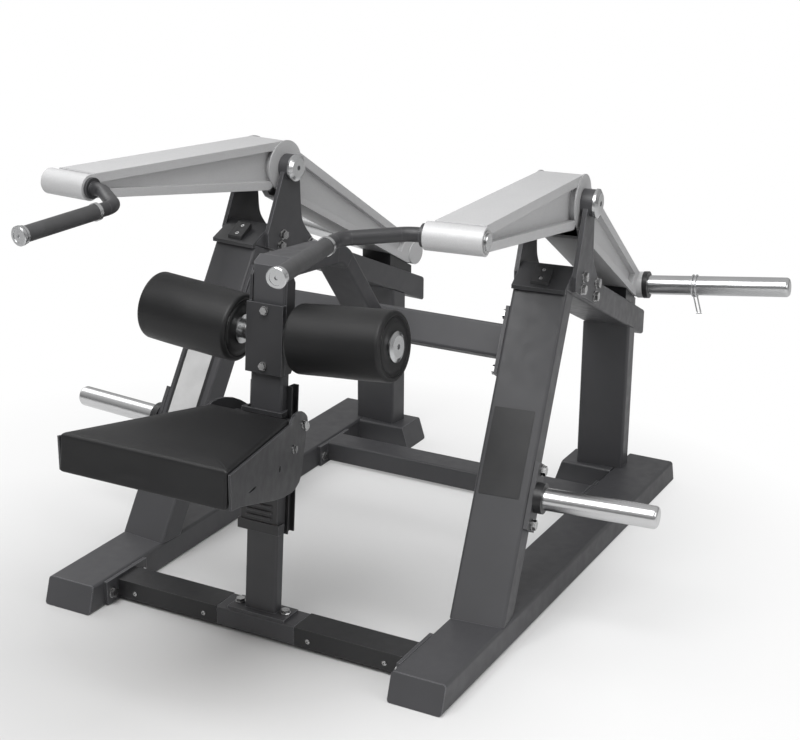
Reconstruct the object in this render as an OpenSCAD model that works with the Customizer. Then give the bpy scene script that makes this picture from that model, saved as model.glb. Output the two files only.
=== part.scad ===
// Plate-loaded seated triceps press: two lever arms, sliding seat and thigh rollers.
// Frame: +X right of the photo, +Y to the back, +Z up, origin on the floor under the box centre.

/* [Side frames] */
// Width of the frame tubes, mm
tube_w = 120; // [100:1:140]
// Depth of the frame tubes and height of the skids, mm
tube_d = 60; // [50:1:70]
// Wall of the frame tubes, mm
wall = 3; // [2:0.5:5]
// Corner radius of the frame tubes, mm
tube_r = 7; // [4:1:10]
// Clear distance between the two skids, mm
skid_gap = 733; // [680:1:800]
// Length of a skid along the floor, mm
skid_len = 1334; // [1200:1:1450]
// Slant of the tube ends, mm
bevel = 20; // [0:1:30]
// Angle by which each side frame closes towards the back, degrees
toe = 6; // [0:0.5:8]
// Backward lean of the front uprights, degrees
lean = 30; // [24:0.5:34]
// Slope of the top beams down to the back, degrees
slope = 23.2; // [18:0.1:28]
// Height of the top beam's front top edge, mm
beam_z = 724.5; // [680:0.5:760]
// Distance from the upright's foot to the beam's front top edge, mm
beam_u = 420; // [380:1:450]
// Distance from the upright's foot to the beam's back end, mm
beam_end = 1074; // [1040:1:1120]
// Distance from the front upright's foot to the rear upright, mm
rear_u = 928; // [860:1:960]

/* [Pivots] */
// Distance of the arm pivot behind the upright's foot, mm
piv_u = 488; // [470:1:510]
// Height of the arm pivot, mm
piv_z = 851; // [820:1:880]
// Radius of the pivot shaft, mm
shaft_r = 15; // [12:0.5:18]
// Thickness of a pivot plate, mm
ear_t = 10; // [6:1:12]
// Radius of the ring on top of a pivot plate, mm
ring_r = 30; // [26:0.5:34]
// Gap between an arm's hub and the ring on each pivot plate, mm
hub_gap = 0.6; // [0.4:0.1:2]
// Radius of the hub discs, mm
disc_r = 61; // [56:1:64]

/* [Lever arms] */
// Travel of the lever arms from the stop blocks to the bump pads, degrees
travel = 41; // [38:0.5:43]
// Width of an arm, mm
arm_w = 100; // [90:1:104]
// Depth of the recess in an arm's side, mm
arm_recess = 15; // [8:1:20]
// Distance of the handle boss in front of the upright's foot, mm
boss_u = -160; // [-190:1:-140]
// Height of the handle boss, mm
boss_z = 919; // [905:1:930]
// Half the length of the handle boss, mm
boss_hw = 58; // [54:1:64]
// Radius of the handle boss, mm
boss_r = 27; // [24:0.5:30]
// Distance of the weight boss behind the upright's foot, mm
load_u = 1045; // [1020:1:1060]
// Height of the weight boss, mm
load_z = 517; // [510:1:525]
// Radius of the weight boss, mm
load_r = 31; // [29:0.5:33]
// Diameter of all weight sleeves, mm
sleeve_d = 48; // [47:0.5:50]
// Free length of a loading sleeve, mm
sleeve_len = 350; // [250:1:420]
// Upward tilt of the loading sleeves, degrees
sleeve_tilt = 5.6; // [0:0.1:8]
// Distance of the parked spring clip from the collar, mm
clip_at = 112; // [60:1:150]
// Free length of a storage sleeve, mm
horn_len = 243; // [180:1:300]
// Height of the storage sleeves, mm
horn_z = 289; // [270:1:360]

/* [Handles] */
// Diameter of the handle tube, mm
handle_d = 28; // [25:0.5:32]
// Diameter of the rubber grip, mm
grip_d = 32; // [30:0.5:36]
// Length of the rubber grip, mm
grip_len = 183; // [150:1:210]
// Distance from the side frame's middle in to the grip, mm
grip_off = 199.6; // [190:0.2:215]
// Downward droop of the handle to the front, degrees
droop = 1.75; // [0:0.25:6]

/* [Mast and rollers] */
// Width of the seat mast, mm
mast_w = 76; // [70:1:90]
// Depth of the seat mast, mm
mast_d = 30; // [26:1:34]
// Backward lean of the mast, degrees
mast_lean = 4.9; // [0:0.1:8]
// Length of the mast, mm
mast_len = 754.5; // [700:0.5:800]
// Distance of the roller axle up the mast, mm
axle_s = 591.5; // [560:0.5:620]
// Upward angle of the roller axles, degrees
axle_v = 4.7; // [0:0.1:8]
// Radius of the roller axles, mm
axle_r = 12.5; // [10:0.5:15]
// Radius of a thigh roller, mm
roller_r = 72; // [55:0.5:80]
// Rounding of a roller's rims, mm
roller_rim = 8; // [4:0.5:12]
// Distance from the middle to a roller's inner end, mm
roller_in = 69; // [66:1:80]
// Length of a thigh roller, mm
roller_len = 216; // [180:1:230]

/* [Seat] */
// Width of the seat pad at the front, mm
pad_front_w = 380; // [340:1:400]
// Width of the seat pad at the mast, mm
pad_rear_w = 188; // [180:1:210]
// Length of the seat pad, mm
pad_len = 362; // [320:1:370]
// Thickness of the seat pad, mm
pad_t = 77.5; // [65:0.5:90]
// Slope of the seat down to the mast, degrees
seat_slope = 6.36; // [0:0.1:10]
// Thickness of the seat's side plates, mm
plate_t = 5; // [3:0.5:8]
// Depth of the pad that stands above the side plates, mm
pad_proud = 9; // [4:0.5:20]
// Distance of the guide rollers up the mast, mm
guide_s = 410.8; // [380:0.2:430]

/* [Hidden] */
shift_y = -3;
e = 0.05;
W = tube_w/2;
hub_hw = arm_w/2 + 2;
skid_in = skid_gap/2;
base_x = skid_in + W;
skid_y0 = -552 + shift_y;
base_y = skid_y0 + 275;
tl = tan(lean);
ts = tan(slope);
function zt(u) = beam_z - ts*(u - beam_u);
function zb(u) = zt(u) - tube_d/cos(slope);
function fu(z) = (z - tube_d)*tl;
// Where the upright's front face meets the beam's underside
meet_u = (beam_z + ts*beam_u - tube_d/cos(slope) - tube_d)*tl/(1 + ts*tl);
meet_z = zb(meet_u);
// Hood over the beam's nose: top line, and the nose line under it
hood_a = 25.6;
hood_t = 4;
th = tan(hood_a);
function hz(u) = beam_z + th*(u - beam_u);
function nz(u) = hz(u) - hood_t/cos(hood_a);
nose_u = tl*(nz(0) - tube_d)/(1 - tl*th);
fold_u = beam_u + hood_t/cos(hood_a)/(th + ts);
// Lever arm lines: z at distance u
top_z0 = piv_z + 60.3;
top_s = (boss_z + 25.74 - top_z0)/(boss_u - piv_u);
bot_z0 = piv_z - 57.1;
bot_s = (boss_z - 23.04 - bot_z0)/(boss_u - piv_u);
rtop_s = (load_z + load_r + 0.5 - top_z0)/(load_u - piv_u);
function ftop(u) = top_z0 + top_s*(u - piv_u);
function fbot(u) = bot_z0 + bot_s*(u - piv_u);
function rtop(u) = top_z0 + rtop_s*(u - piv_u);
rb_u = piv_u + 62;
rb_z0 = piv_z - 105;
rb_s = (load_z - 17.3 - rb_z0)/(load_u - 40 - rb_u);
function rbot(u) = rb_z0 + rb_s*(u - rb_u);
lip = 20;
A = arm_w/2;
disc_in = A - 2;
hub_r = 52;
// Bump pad: its top is where the pressed arm's underside comes to rest
bot_a = atan(bot_s);
arm_dist = abs((bot_z0 - piv_z)*cos(bot_a));
bump_a = travel + bot_a;
function bz(u) = piv_z - arm_dist/cos(bump_a) + tan(bump_a)*(u - piv_u);
// Handle path, from the boss inwards and forwards
h_r = handle_d/2;
g_r = grip_d/2;
h1 = [-boss_hw - 31.8, 0];
h2 = [-grip_off, -78.6];
ha = atan2(h1[1] - h2[1], h1[0] - h2[0]);
hb1 = 60;
hb2 = 45;
ht1 = hb1*tan(ha/2);
ht2 = hb2*tan((90 - ha)/2);
h_mid = norm(h2 - h1) - ht1 - ht2;
grip_s0 = 57;
// Mast frame
mast_y = base_y - 163;
mast_z = tube_d - 3;
M = mast_w/2;
rail_s0 = 174;
rail_s1 = 491;
rail_d = 27;
guide_y = 34;
guide_r = 10;
pad_y = -816 + shift_y;
pad_z = 551.5;
taper = atan((pad_front_w - pad_rear_w)/2/pad_len);
board_t = 15;
board_in = 14;
guide_wy = mast_y + guide_s*sin(mast_lean) + guide_y*cos(mast_lean);
guide_wz = mast_z + guide_s*cos(mast_lean) - guide_y*sin(mast_lean);
plate_x0 = pad_front_w/2 + plate_t + 0.3;
xbeam_s = 73;
xbeam_d = 40;
xb_z = 565.5;
xb_y = base_y + fu(xb_z)*cos(toe) + tube_d/cos(lean)/2 - W*sin(toe);
sl_r = sleeve_d/2;
arch_d = 40;
shaft_end = W + 20;
foot_l = 152;
horn_t = 10;
horn_x = W + horn_t + 18;
neck = 1;

// Side frame axes: x outwards, y back along the toed frame, z up
module R() translate([base_x, base_y, 0]) rotate([0, 0, toe]) children();
module L() mirror([1, 0, 0]) R() children();
module flip() mirror([1, 0, 0]) children();
// A plate lying in the side plane, from x0, of thickness t
module plate(x0, t) translate([x0, 0, 0]) rotate([90, 0, 90]) linear_extrude(t) children();
// A cylinder along x
module xcyl(r, x0, x1) translate([x0, 0, 0]) rotate([0, 90, 0]) cylinder(r = r, h = x1 - x0);
module rr(w, d, r) {
  square([w - 2*r, d], center = true);
  square([w, d - 2*r], center = true);
  for (i = [-1, 1], j = [-1, 1]) translate([i*(w/2 - r), j*(d/2 - r)]) circle(r);
}
module rhs(w, d, l, t = wall, r = tube_r) linear_extrude(l) difference() {
  rr(w, d, r);
  rr(w - 2*t, d - 2*t, max(r - t, 1));
}
module hexbolt(d, head, washer = 1) {
  if (washer == 1) cylinder(r = d*1.02, h = 2.4);
  translate([0, 0, washer == 1 ? 2.4 : 0]) cylinder(r = d*0.92, h = head, $fn = 6);
}
module domecap(r, t) difference() {
  union() {
    cylinder(r = r, h = t*0.5);
    translate([0, 0, t*0.5]) cylinder(r1 = r, r2 = r*0.72, h = t*0.5);
  }
  translate([0, 0, t*0.35]) cylinder(r = r*0.2, h = t, $fn = 6);
}

// Floor pieces
module skid() difference() {
  translate([base_x, skid_y0, tube_d/2]) rotate([-90, 0, 0]) rhs(tube_w, tube_d, skid_len);
  skid_ends(1.5, 1);
}
// Wedges that cut the slanted ends, moved in by k
module skid_ends(k, big = 0) {
  x0 = skid_in - 5;
  for (s = [0, 1]) translate([0, s*(2*skid_y0 + skid_len), 0]) mirror([0, s, 0])
    translate([x0, 0, 0]) rotate([90, 0, 90]) linear_extrude(tube_w + 10)
      polygon([[skid_y0 - 40, -1], [skid_y0 + 2*k - bevel/tube_d, -1],
        [skid_y0 + 2*k + bevel*(tube_d + 1)/tube_d, tube_d + 1], [skid_y0 - 40, tube_d + 1]]);
}
module skid_caps() for (s = [0, 1]) translate([0, s*(2*skid_y0 + skid_len), 0]) mirror([0, s, 0])
  intersection() {
    translate([base_x, skid_y0 - 5, tube_d/2]) rotate([-90, 0, 0])
      linear_extrude(60) rr(tube_w, tube_d, tube_r);
    translate([skid_in - 5, 0, 0]) rotate([90, 0, 90]) linear_extrude(tube_w + 10)
      polygon([[skid_y0 - bevel/tube_d, -1], [skid_y0 + 3 - bevel/tube_d, -1],
        [skid_y0 + 3 + bevel*(tube_d + 1)/tube_d, tube_d + 1],
        [skid_y0 + bevel*(tube_d + 1)/tube_d, tube_d + 1]]);
  }
foot_d = 100;
module rear_foot() {
  foot_y = base_y + rear_u*cos(toe) - W*sin(toe) - 11;
  difference() {
    translate([skid_in, foot_y + foot_d/2, tube_d/2]) rotate([0, -90, 0]) rotate([0, 0, 90])
      rhs(foot_d, tube_d, foot_l);
    foot_cut(foot_y, 0);
  }
  intersection() {
    translate([skid_in, foot_y + foot_d/2, tube_d/2]) rotate([0, -90, 0]) rotate([0, 0, 90])
      linear_extrude(foot_l + 4) rr(foot_d, tube_d, tube_r);
    difference() { foot_cut(foot_y, -3); foot_cut(foot_y, 0); }
  }
}
module foot_cut(y, k) translate([0, y + foot_d + 10, 0]) rotate([90, 0, 0]) linear_extrude(foot_d + 20)
  polygon([[100, -1], [skid_in - foot_l + 0.5 - k, -1], [skid_in - foot_l + 0.5 - k + bevel, tube_d + 1],
    [100, tube_d + 1]]);

// Side frame pieces, in side axes
module front_upright() intersection() {
  translate([0, 0, tube_d]) rotate([-lean, 0, 0]) translate([0, tube_d/2, -60])
    rhs(tube_w, tube_d, 900);
  plate(-W - 5, tube_w + 10) polygon([[-20, tube_d], [tube_d/cos(lean) + 20, tube_d],
    [meet_u + 2*tube_d, zb(meet_u + 2*tube_d)], [meet_u - tube_d/2, zb(meet_u - tube_d/2)]]);
}
module top_beam() difference() {
  union() {
    translate([0, beam_u, beam_z]) rotate([-90 - slope, 0, 0]) translate([0, tube_d/2, -140])
      rhs(tube_w, tube_d, 900);
    plate(-W + wall - 0.5, tube_w - 2*wall + 1)
      polygon([[beam_end - 4, zt(beam_end - 4) - 1], [beam_end, zt(beam_end) - 1],
        [beam_end, zb(beam_end) + 1], [beam_end - 4, zb(beam_end - 4) + 1]]);
  }
  plate(-W - 5, tube_w + 10) polygon([[fu(meet_z - 30), meet_z - 30], [nose_u, nz(nose_u)],
    [beam_u + 60, nz(beam_u + 60)], [beam_u + 60, beam_z + 200], [meet_u - 200, beam_z + 200],
    [meet_u - 200, meet_z - 30]]);
  plate(-W - 5, tube_w + 10) square_at(beam_end, 0, 400, 900);
}
module square_at(x, y, w, h) translate([x, y]) square([w, h]);
module rear_upright() intersection() {
  translate([0, rear_u + tube_d/2, tube_d]) rhs(tube_w, tube_d, 700);
  plate(-W - 5, tube_w + 10) polygon([[rear_u - 5, tube_d], [rear_u + tube_d + 5, tube_d],
    [rear_u + tube_d + 5, zb(rear_u + tube_d + 5)], [rear_u - 5, zb(rear_u - 5)]]);
}
// Cap over the beam's nose, with a lip in front of the upright's face
module hood() plate(-W, tube_w) polygon([[beam_u - 72, hz(beam_u - 72)], [beam_u, beam_z],
  [fold_u, zt(fold_u)], [nose_u, nz(nose_u)], [fu(meet_z - 3), meet_z - 3],
  [beam_u - 72, meet_z - 3]]);
// Wedge of rubber that the pressed arm lands on
bump_u = [beam_u - 64, beam_u - 25];
module bump() difference() {
  plate(-20, 40) polygon([[bump_u[0], hz(bump_u[0])], [bump_u[1], hz(bump_u[1])],
    [bump_u[1], bz(bump_u[1]) - e], [bump_u[0], bz(bump_u[0]) - e]]);
  bump_holes() translate([0, 0, -3]) cylinder(r = 5, h = 6);
}
module bump_holes() for (u = [bump_u[0] + 9, bump_u[1] - 9])
  translate([0, u, bz(u)]) rotate([bump_a, 0, 0]) children();
module bump_screws() bump_holes() translate([0, 0, -3]) difference() {
  cylinder(r = 4.5, h = 2.2);
  translate([0, 0, 1]) cylinder(r = 2, h = 2, $fn = 6);
}
// A pivot plate whose inner face is at x = W
module ear() {
  difference() {
    union() {
      plate(W, ear_t) polygon([[piv_u - ring_r + 1, piv_z - 6], [piv_u + ring_r - 1, piv_z - 6],
        [piv_u + 34, piv_z - 113], [piv_u + 36, piv_z - 128], [piv_u + 40, piv_z - 140],
        [piv_u + 47, piv_z - 151], [piv_u + 57, piv_z - 164], [piv_u + 85, zt(piv_u + 85) - 4],
        [piv_u + 78, zb(piv_u + 78) + 5], [piv_u - 92, zb(piv_u - 92) + 5],
        [piv_u - 94, zt(piv_u - 94) - 28]]);
      translate([0, piv_u, piv_z]) xcyl(ring_r, hub_hw + hub_gap, shaft_end);
    }
    translate([0, piv_u, piv_z]) xcyl(shaft_r + e, 0, 200);
  }
}
ear_bolts = [[piv_u - 38, -16.5], [piv_u - 48, -46], [piv_u + 68, -12.5], [piv_u + 59, -45]];
module ear_bolt_set() for (b = ear_bolts)
  translate([W + ear_t, b[0], zt(b[0]) + b[1]]) rotate([0, 90, 0]) hexbolt(12, 8);
module shaft() translate([0, piv_u, piv_z]) xcyl(shaft_r, -shaft_end, shaft_end);
module shaft_cap() translate([shaft_end, piv_u, piv_z]) rotate([0, 90, 0]) domecap(32, 11);
stop_u = beam_end - 139;
stop_to = stop_u + 100;
module stop_block() difference() {
  plate(-45, 90) polygon([[stop_u, zt(stop_u)], [stop_to, zt(stop_to)], [stop_to, rbot(stop_to)],
    [stop_u, rbot(stop_u)]]);
  plate(-30, 60) polygon([[stop_u + 15, zt(stop_u + 15) - 2], [stop_to - 15, zt(stop_to - 15) - 2],
    [stop_to - 15, zt(stop_to - 15) + 10], [stop_u + 15, zt(stop_u + 15) + 10]]);
}

// Storage horn on the outside of the front upright, in side axes
horn_u = fu(horn_z) + tube_d/cos(lean)/2;
module horn() {
  translate([W, horn_u, horn_z]) rotate([-lean, 0, 0])
    difference() {
      translate([0, -27, -72]) cube([horn_t, 54, 144]);
      for (z = [-58, 58]) translate([0, 0, z]) xcyl(6.1, -1, horn_t + 1);
    }
  translate([0, horn_u, horn_z]) sleeve(W + horn_t - 1, horn_x + 0.6, horn_x + horn_len);
}
// Hollow sleeve with a rounded, closed end, on a narrower neck up to xc
module sleeve(x0, xc, x1) rotate([0, 90, 0]) translate([0, 0, x0]) difference() {
  union() {
    cylinder(r = sl_r - neck, h = xc - x0 + 5);
    translate([0, 0, xc - x0]) cylinder(r = sl_r, h = x1 - xc - 9);
    translate([0, 0, x1 - x0 - 10]) cylinder(r = sl_r - 9, h = 10);
    translate([0, 0, x1 - x0 - 9]) rotate_extrude() translate([sl_r - 9, 0]) circle(9);
  }
  translate([0, 0, -1]) cylinder(r = sl_r - 4.5, h = x1 - x0 - 13);
}
module horn_collar() translate([0, horn_u, horn_z]) difference() {
  xcyl(33, W + horn_t, horn_x);
  xcyl(sl_r - neck + e, W, horn_x + 10);
}
module horn_bolts() translate([W + horn_t, horn_u, horn_z]) rotate([-lean, 0, 0])
  for (z = [-58, 58]) translate([0, 0, z]) rotate([0, 90, 0]) hexbolt(12, 8);

// Lever arm, in side axes
arm_end = boss_u + 20;
module press_arm() difference() {
  union() {
    difference() {
      plate(-A, arm_w) polygon([[arm_end, ftop(arm_end)], [piv_u, ftop(piv_u)],
        [piv_u, fbot(piv_u)], [arm_end, fbot(arm_end)]]);
      for (m = [0, 1]) mirror([m, 0, 0]) plate(A - arm_recess, arm_recess + 2)
        polygon([[arm_end + 11, ftop(arm_end + 11) - lip], [piv_u + 9, ftop(piv_u + 9) - lip],
          [piv_u + 9, fbot(piv_u + 9) + lip], [arm_end + 11, fbot(arm_end + 11) + lip - 2]]);
      plate(-A + arm_recess + 4, arm_w - 2*arm_recess - 8)
        polygon([[arm_end + 60, ftop(arm_end + 60) - 4], [piv_u + 9, ftop(piv_u + 9) - 4],
          [piv_u + 9, fbot(piv_u + 9) + 4], [arm_end + 60, fbot(arm_end + 60) + 4]]);
      for (m = [0, 1]) mirror([m, 0, 0]) plate(-A + 4, arm_recess + 1) {
        polygon([[arm_end + 60, ftop(arm_end + 60) - 4], [piv_u + 9, ftop(piv_u + 9) - 4],
          [piv_u + 9, ftop(piv_u + 9) - lip + 4], [arm_end + 60, ftop(arm_end + 60) - lip + 4]]);
        polygon([[arm_end + 60, fbot(arm_end + 60) + lip - 5], [piv_u + 9, fbot(piv_u + 9) + lip - 4],
          [piv_u + 9, fbot(piv_u + 9) + 4], [arm_end + 60, fbot(arm_end + 60) + 4]]);
      }
    }
    translate([0, boss_u, boss_z]) xcyl(boss_r, -boss_hw, boss_hw);
  }
  plate(-A - 1, arm_w + 2) square_at(arm_end + 5, ftop(arm_end) - 2.5, 2.2, 10);
  translate([0, boss_u, boss_z]) xcyl(20, -boss_hw - 1, boss_hw + 1);
  translate([0, piv_u, piv_z]) {
    xcyl(hub_r + e, -A - 2, A + 2);
    for (m = [0, 1]) mirror([m, 0, 0]) xcyl(disc_r + e, disc_in - e, A + 5);
  }
  plate(-A - 1, arm_w + 2) polygon([[piv_u - 60, fbot(piv_u - 60) - 1],
    [piv_u - 34, fbot(piv_u - 34) + lip + 1], [piv_u + 20, fbot(piv_u) + lip + 1],
    [piv_u + 20, fbot(piv_u) - 30], [piv_u - 60, fbot(piv_u) - 30]]);
}
module weight_arm() difference() {
  union() {
    difference() {
      plate(-A, arm_w) polygon([[piv_u + e, rtop(piv_u)], [load_u, rtop(load_u)],
        [load_u + 27, load_z - 14], [load_u - 2, load_z - load_r + 3],
        [load_u - 40, rbot(load_u - 40)], [piv_u + e, rbot(piv_u)]]);
      for (m = [0, 1]) mirror([m, 0, 0]) plate(A - arm_recess, arm_recess + 2)
        polygon([[piv_u - 5, rtop(piv_u) - lip - 2], [load_u - 48, rtop(load_u - 48) - lip - 2],
          [load_u - 66, rbot(load_u - 66) + lip], [piv_u - 5, rbot(piv_u - 5) + lip]]);
      plate(-A + arm_recess + 4, arm_w - 2*arm_recess - 8)
        polygon([[piv_u - 5, rtop(piv_u) - 5], [load_u - 40, rtop(load_u - 40) - 5],
          [load_u - 60, rbot(load_u - 60) + 5], [piv_u - 5, rbot(piv_u - 5) + 5]]);
      for (m = [0, 1]) mirror([m, 0, 0]) plate(-A + 4, arm_recess + 1) {
        polygon([[piv_u - 5, rtop(piv_u) - 4.4], [load_u - 50, rtop(load_u - 50) - 4.4],
          [load_u - 50, rtop(load_u - 50) - lip + 3], [piv_u - 5, rtop(piv_u) - lip + 3]]);
        polygon([[piv_u + 60, rbot(piv_u + 60) + lip - 5], [load_u - 70, rbot(load_u - 70) + lip - 5],
          [load_u - 70, rbot(load_u - 70) + 4.4], [piv_u + 60, rbot(piv_u + 60) + 4.4]]);
      }
      translate([0, piv_u, piv_z]) xcyl(hub_r - 6, -A - 2, A + 2);
      plate(-A - 2, arm_w + 4) polygon([[piv_u - 1, piv_z], [piv_u + 12, piv_z - 50],
        [piv_u + 46, rbot(piv_u + 46) - 1], [piv_u - 1, rbot(piv_u) - 30]]);
    }
    translate([0, piv_u, piv_z]) {
      xcyl(hub_r, -disc_in, disc_in);
      for (m = [0, 1]) mirror([m, 0, 0]) xcyl(disc_r, disc_in, hub_hw);
    }
    translate([0, load_u, load_z]) {
      xcyl(load_r, -54, 52);
      translate([52, 0, 0]) rotate([0, -sleeve_tilt, 0]) xcyl(load_r + 2, -4, 12);
    }
  }
  translate([0, piv_u, piv_z]) {
    xcyl(shaft_r + 4, -hub_hw - 1, hub_hw + 1);
    for (m = [0, 1]) mirror([m, 0, 0]) xcyl(28, hub_hw - 20, hub_hw + 1);
  }
}
module bearing(ro, ri, x0, x1) difference() {
  xcyl(ro - 0.02, x0, x1);
  xcyl(ri, x0 - 1, x1 + 1);
}
module arm_bearings() {
  translate([0, piv_u, piv_z]) for (m = [0, 1]) mirror([m, 0, 0])
    bearing(28, shaft_r + e, hub_hw - 20, hub_hw - 2);
  translate([0, boss_u, boss_z]) for (m = [0, 1]) mirror([m, 0, 0]) {
    bearing(20, h_r + e, boss_hw - 30, boss_hw);
    bearing(h_r + 8, h_r + e, boss_hw, boss_hw + 2);
  }
}
// Loading sleeve, collar and clip, along the tilted axis of the weight boss
module load_axis() translate([52, load_u, load_z]) rotate([0, -sleeve_tilt, 0]) children();
module load_collar() load_axis() difference() {
  xcyl(34, 12, 24);
  xcyl(sl_r - neck + e, 10, 30);
}
// Loading sleeve, a hair slimmer where the clip is parked
module load_sleeve() load_axis() difference() {
  sleeve(12, 24.6, 24 + sleeve_len);
  difference() {
    xcyl(sl_r + 5, 24 + clip_at - 3, 24 + clip_at + 13);
    xcyl(sl_r - 0.3, 24 + clip_at - 4, 24 + clip_at + 14);
  }
}
module clip() load_axis() translate([24 + clip_at, 0, 0]) {
  for (x = [0, 9]) translate([x, 0, 0]) rotate([0, 90, 0]) rotate_extrude()
    translate([sl_r + 2 + e, 0]) circle(2);
  translate([0, 0, -sl_r - 2.9]) {
    xcyl(2.4, -2.5, 11.5);
    for (x = [0, 9]) translate([x, 0, 0]) rotate([0, 170, 0]) cylinder(r = 1.7, h = 44);
    translate([44*sin(10), 0, -44*cos(10)]) xcyl(1.95, -2.5, 11.5);
  }
}

// Handle, in side axes: the tube runs in through the boss, bends forward to the grip
module handle_axis() translate([0, boss_u, boss_z]) rotate([droop, 0, 0]) children();
module elbow(r, a) rotate_extrude(angle = a) translate([r, 0]) circle(h_r);
// Straight lengths and elbows meet inside thin seam beads
bead = 0.3;
module handle_path() {
  xcyl(h_r, h1[0] + ht1 + bead, boss_hw + 2.2);
  xcyl(h_r + 0.2, h1[0] + ht1 - 2*bead, h1[0] + ht1 + 2*bead);
  translate([h1[0] + ht1, -hb1, 0]) rotate([0, 0, 90]) elbow(hb1, ha);
  translate([h1[0], h1[1], 0]) rotate([0, 0, 180 + ha]) {
    xcyl(h_r, ht1 + bead, ht1 + h_mid - bead);
    for (x = [ht1, ht1 + h_mid]) xcyl(h_r + 0.2, x - 2*bead, x + 2*bead);
    translate([ht1 + h_mid, hb2, 0]) rotate([0, 0, -90]) elbow(hb2, 90 - ha);
  }
  translate([h2[0], h2[1] - ht2, 0]) rotate([90, 0, 0]) {
    translate([0, 0, bead]) cylinder(r = h_r, h = grip_s0 + grip_len - ht2 + 8 - bead);
    translate([0, 0, -2*bead]) cylinder(r = h_r + 0.2, h = 4*bead);
  }
}
module handle_tube() handle_axis() difference() {
  union() {
    handle_path();
    xcyl(h_r + 8, -boss_hw - 8, -boss_hw - 2.2);
  }
  xcyl(h_r - 3, h1[0] + ht1 + 8, boss_hw + 10);
  translate([h2[0], h2[1] - ht2 - 8, 0]) rotate([90, 0, 0])
    cylinder(r = h_r - 3, h = grip_s0 + grip_len);
}
module grip() handle_axis() translate([h2[0], h2[1] - grip_s0, 0]) rotate([90, 0, 0]) difference() {
  cylinder(r = g_r, h = grip_len);
  translate([0, 0, -1]) cylinder(r = h_r + 0.02, h = grip_len + 2);
}
module handle_plug() handle_axis() difference() {
  union() {
    xcyl(h_r - 3, boss_hw - 8, boss_hw + 3);
    xcyl(h_r + 2, boss_hw + 2.2, boss_hw + 5);
  }
  xcyl(h_r - 6, boss_hw - 9, boss_hw + 1);
}
module handle_rings() handle_axis() translate([h2[0], h2[1] - grip_s0, 0]) rotate([90, 0, 0]) {
  translate([0, 0, -9]) difference() {
    cylinder(r = g_r + 2, h = 9);
    translate([0, 0, -1]) cylinder(r = h_r + 0.02, h = 12);
  }
  translate([0, 0, grip_len]) difference() {
    union() {
      cylinder(r = g_r + 2, h = 5);
      cylinder(r = g_r - 0.5, h = 9);
      translate([0, 0, 7.5]) cylinder(r = g_r + 3.5, h = 5);
      translate([0, 0, 12.5]) cylinder(r1 = g_r + 3.5, r2 = g_r + 1.8, h = 1.5);
    }
    translate([0, 0, -1]) cylinder(r = h_r + 0.02, h = 9 + 0.02);
    translate([0, 0, 13]) cylinder(r = g_r - 3, h = 3);
    translate([0, 0, 10.5]) cylinder(r = 4, h = 5, $fn = 6);
  }
}

// Cross-members, in world axes
fxm_y0 = base_y - 182;
fxm_d = 70;
fxm_h = 44;
rxm_y0 = base_y + 721;
module end_plate(y0, d, z0, h) for (m = [0, 1]) mirror([m, 0, 0])
  translate([skid_in - 8, y0, z0]) cube([8, d, h]);
module front_cross() {
  translate([-skid_in + 7, fxm_y0 + fxm_d/2, 7 + fxm_h/2]) rotate([90, 0, 90])
    rhs(fxm_d - 5, fxm_h - 5, 2*skid_in - 14, 3, 5);
  difference() {
    translate([-96, fxm_y0 + fxm_d/2, 7 + fxm_h/2]) rotate([90, 0, 90])
      linear_extrude(192) rr(fxm_d, fxm_h, 5);
    translate([-100, fxm_y0 + fxm_d/2, 7 + fxm_h/2]) rotate([90, 0, 90])
      linear_extrude(200) rr(fxm_d - 7, fxm_h - 7, 4);
  }
  difference() {
    end_plate(fxm_y0 - 36, fxm_d + 72, 3, tube_d - 6);
    for (m = [0, 1], y = [-20, fxm_d + 20]) mirror([m, 0, 0])
      translate([0, fxm_y0 + y, tube_d/2 - 3]) xcyl(6.2, skid_in - 9, skid_in + 1);
  }
}
// Folded covers over the two halves of the front cross-member
module floor_cover() difference() {
  translate([97, fxm_y0, 9]) cube([skid_in - 8 - 97 - 2, fxm_d, fxm_h - 2]);
  translate([96, fxm_y0 + 2.4, 6]) cube([skid_in, fxm_d - 4.8, fxm_h - 1.4]);
}
module rear_cross() {
  translate([-skid_in + 7, rxm_y0 + 38, 33]) rotate([90, 0, 90])
    rhs(76, 52, 2*skid_in - 14, 3, 6);
  difference() {
    end_plate(rxm_y0 - 36, 76 + 72, 3, tube_d - 6);
    for (m = [0, 1], y = [-20, 96]) mirror([m, 0, 0])
      translate([0, rxm_y0 + y, tube_d/2 - 3]) xcyl(6.2, skid_in - 9, skid_in + 1);
  }
}
module skid_bolts() for (y = [fxm_y0 - 20, fxm_y0 + fxm_d + 20, rxm_y0 - 20, rxm_y0 + 96])
  translate([skid_in - 8, y, tube_d/2 - 3]) rotate([0, -90, 0]) hexbolt(12, 8);
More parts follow.
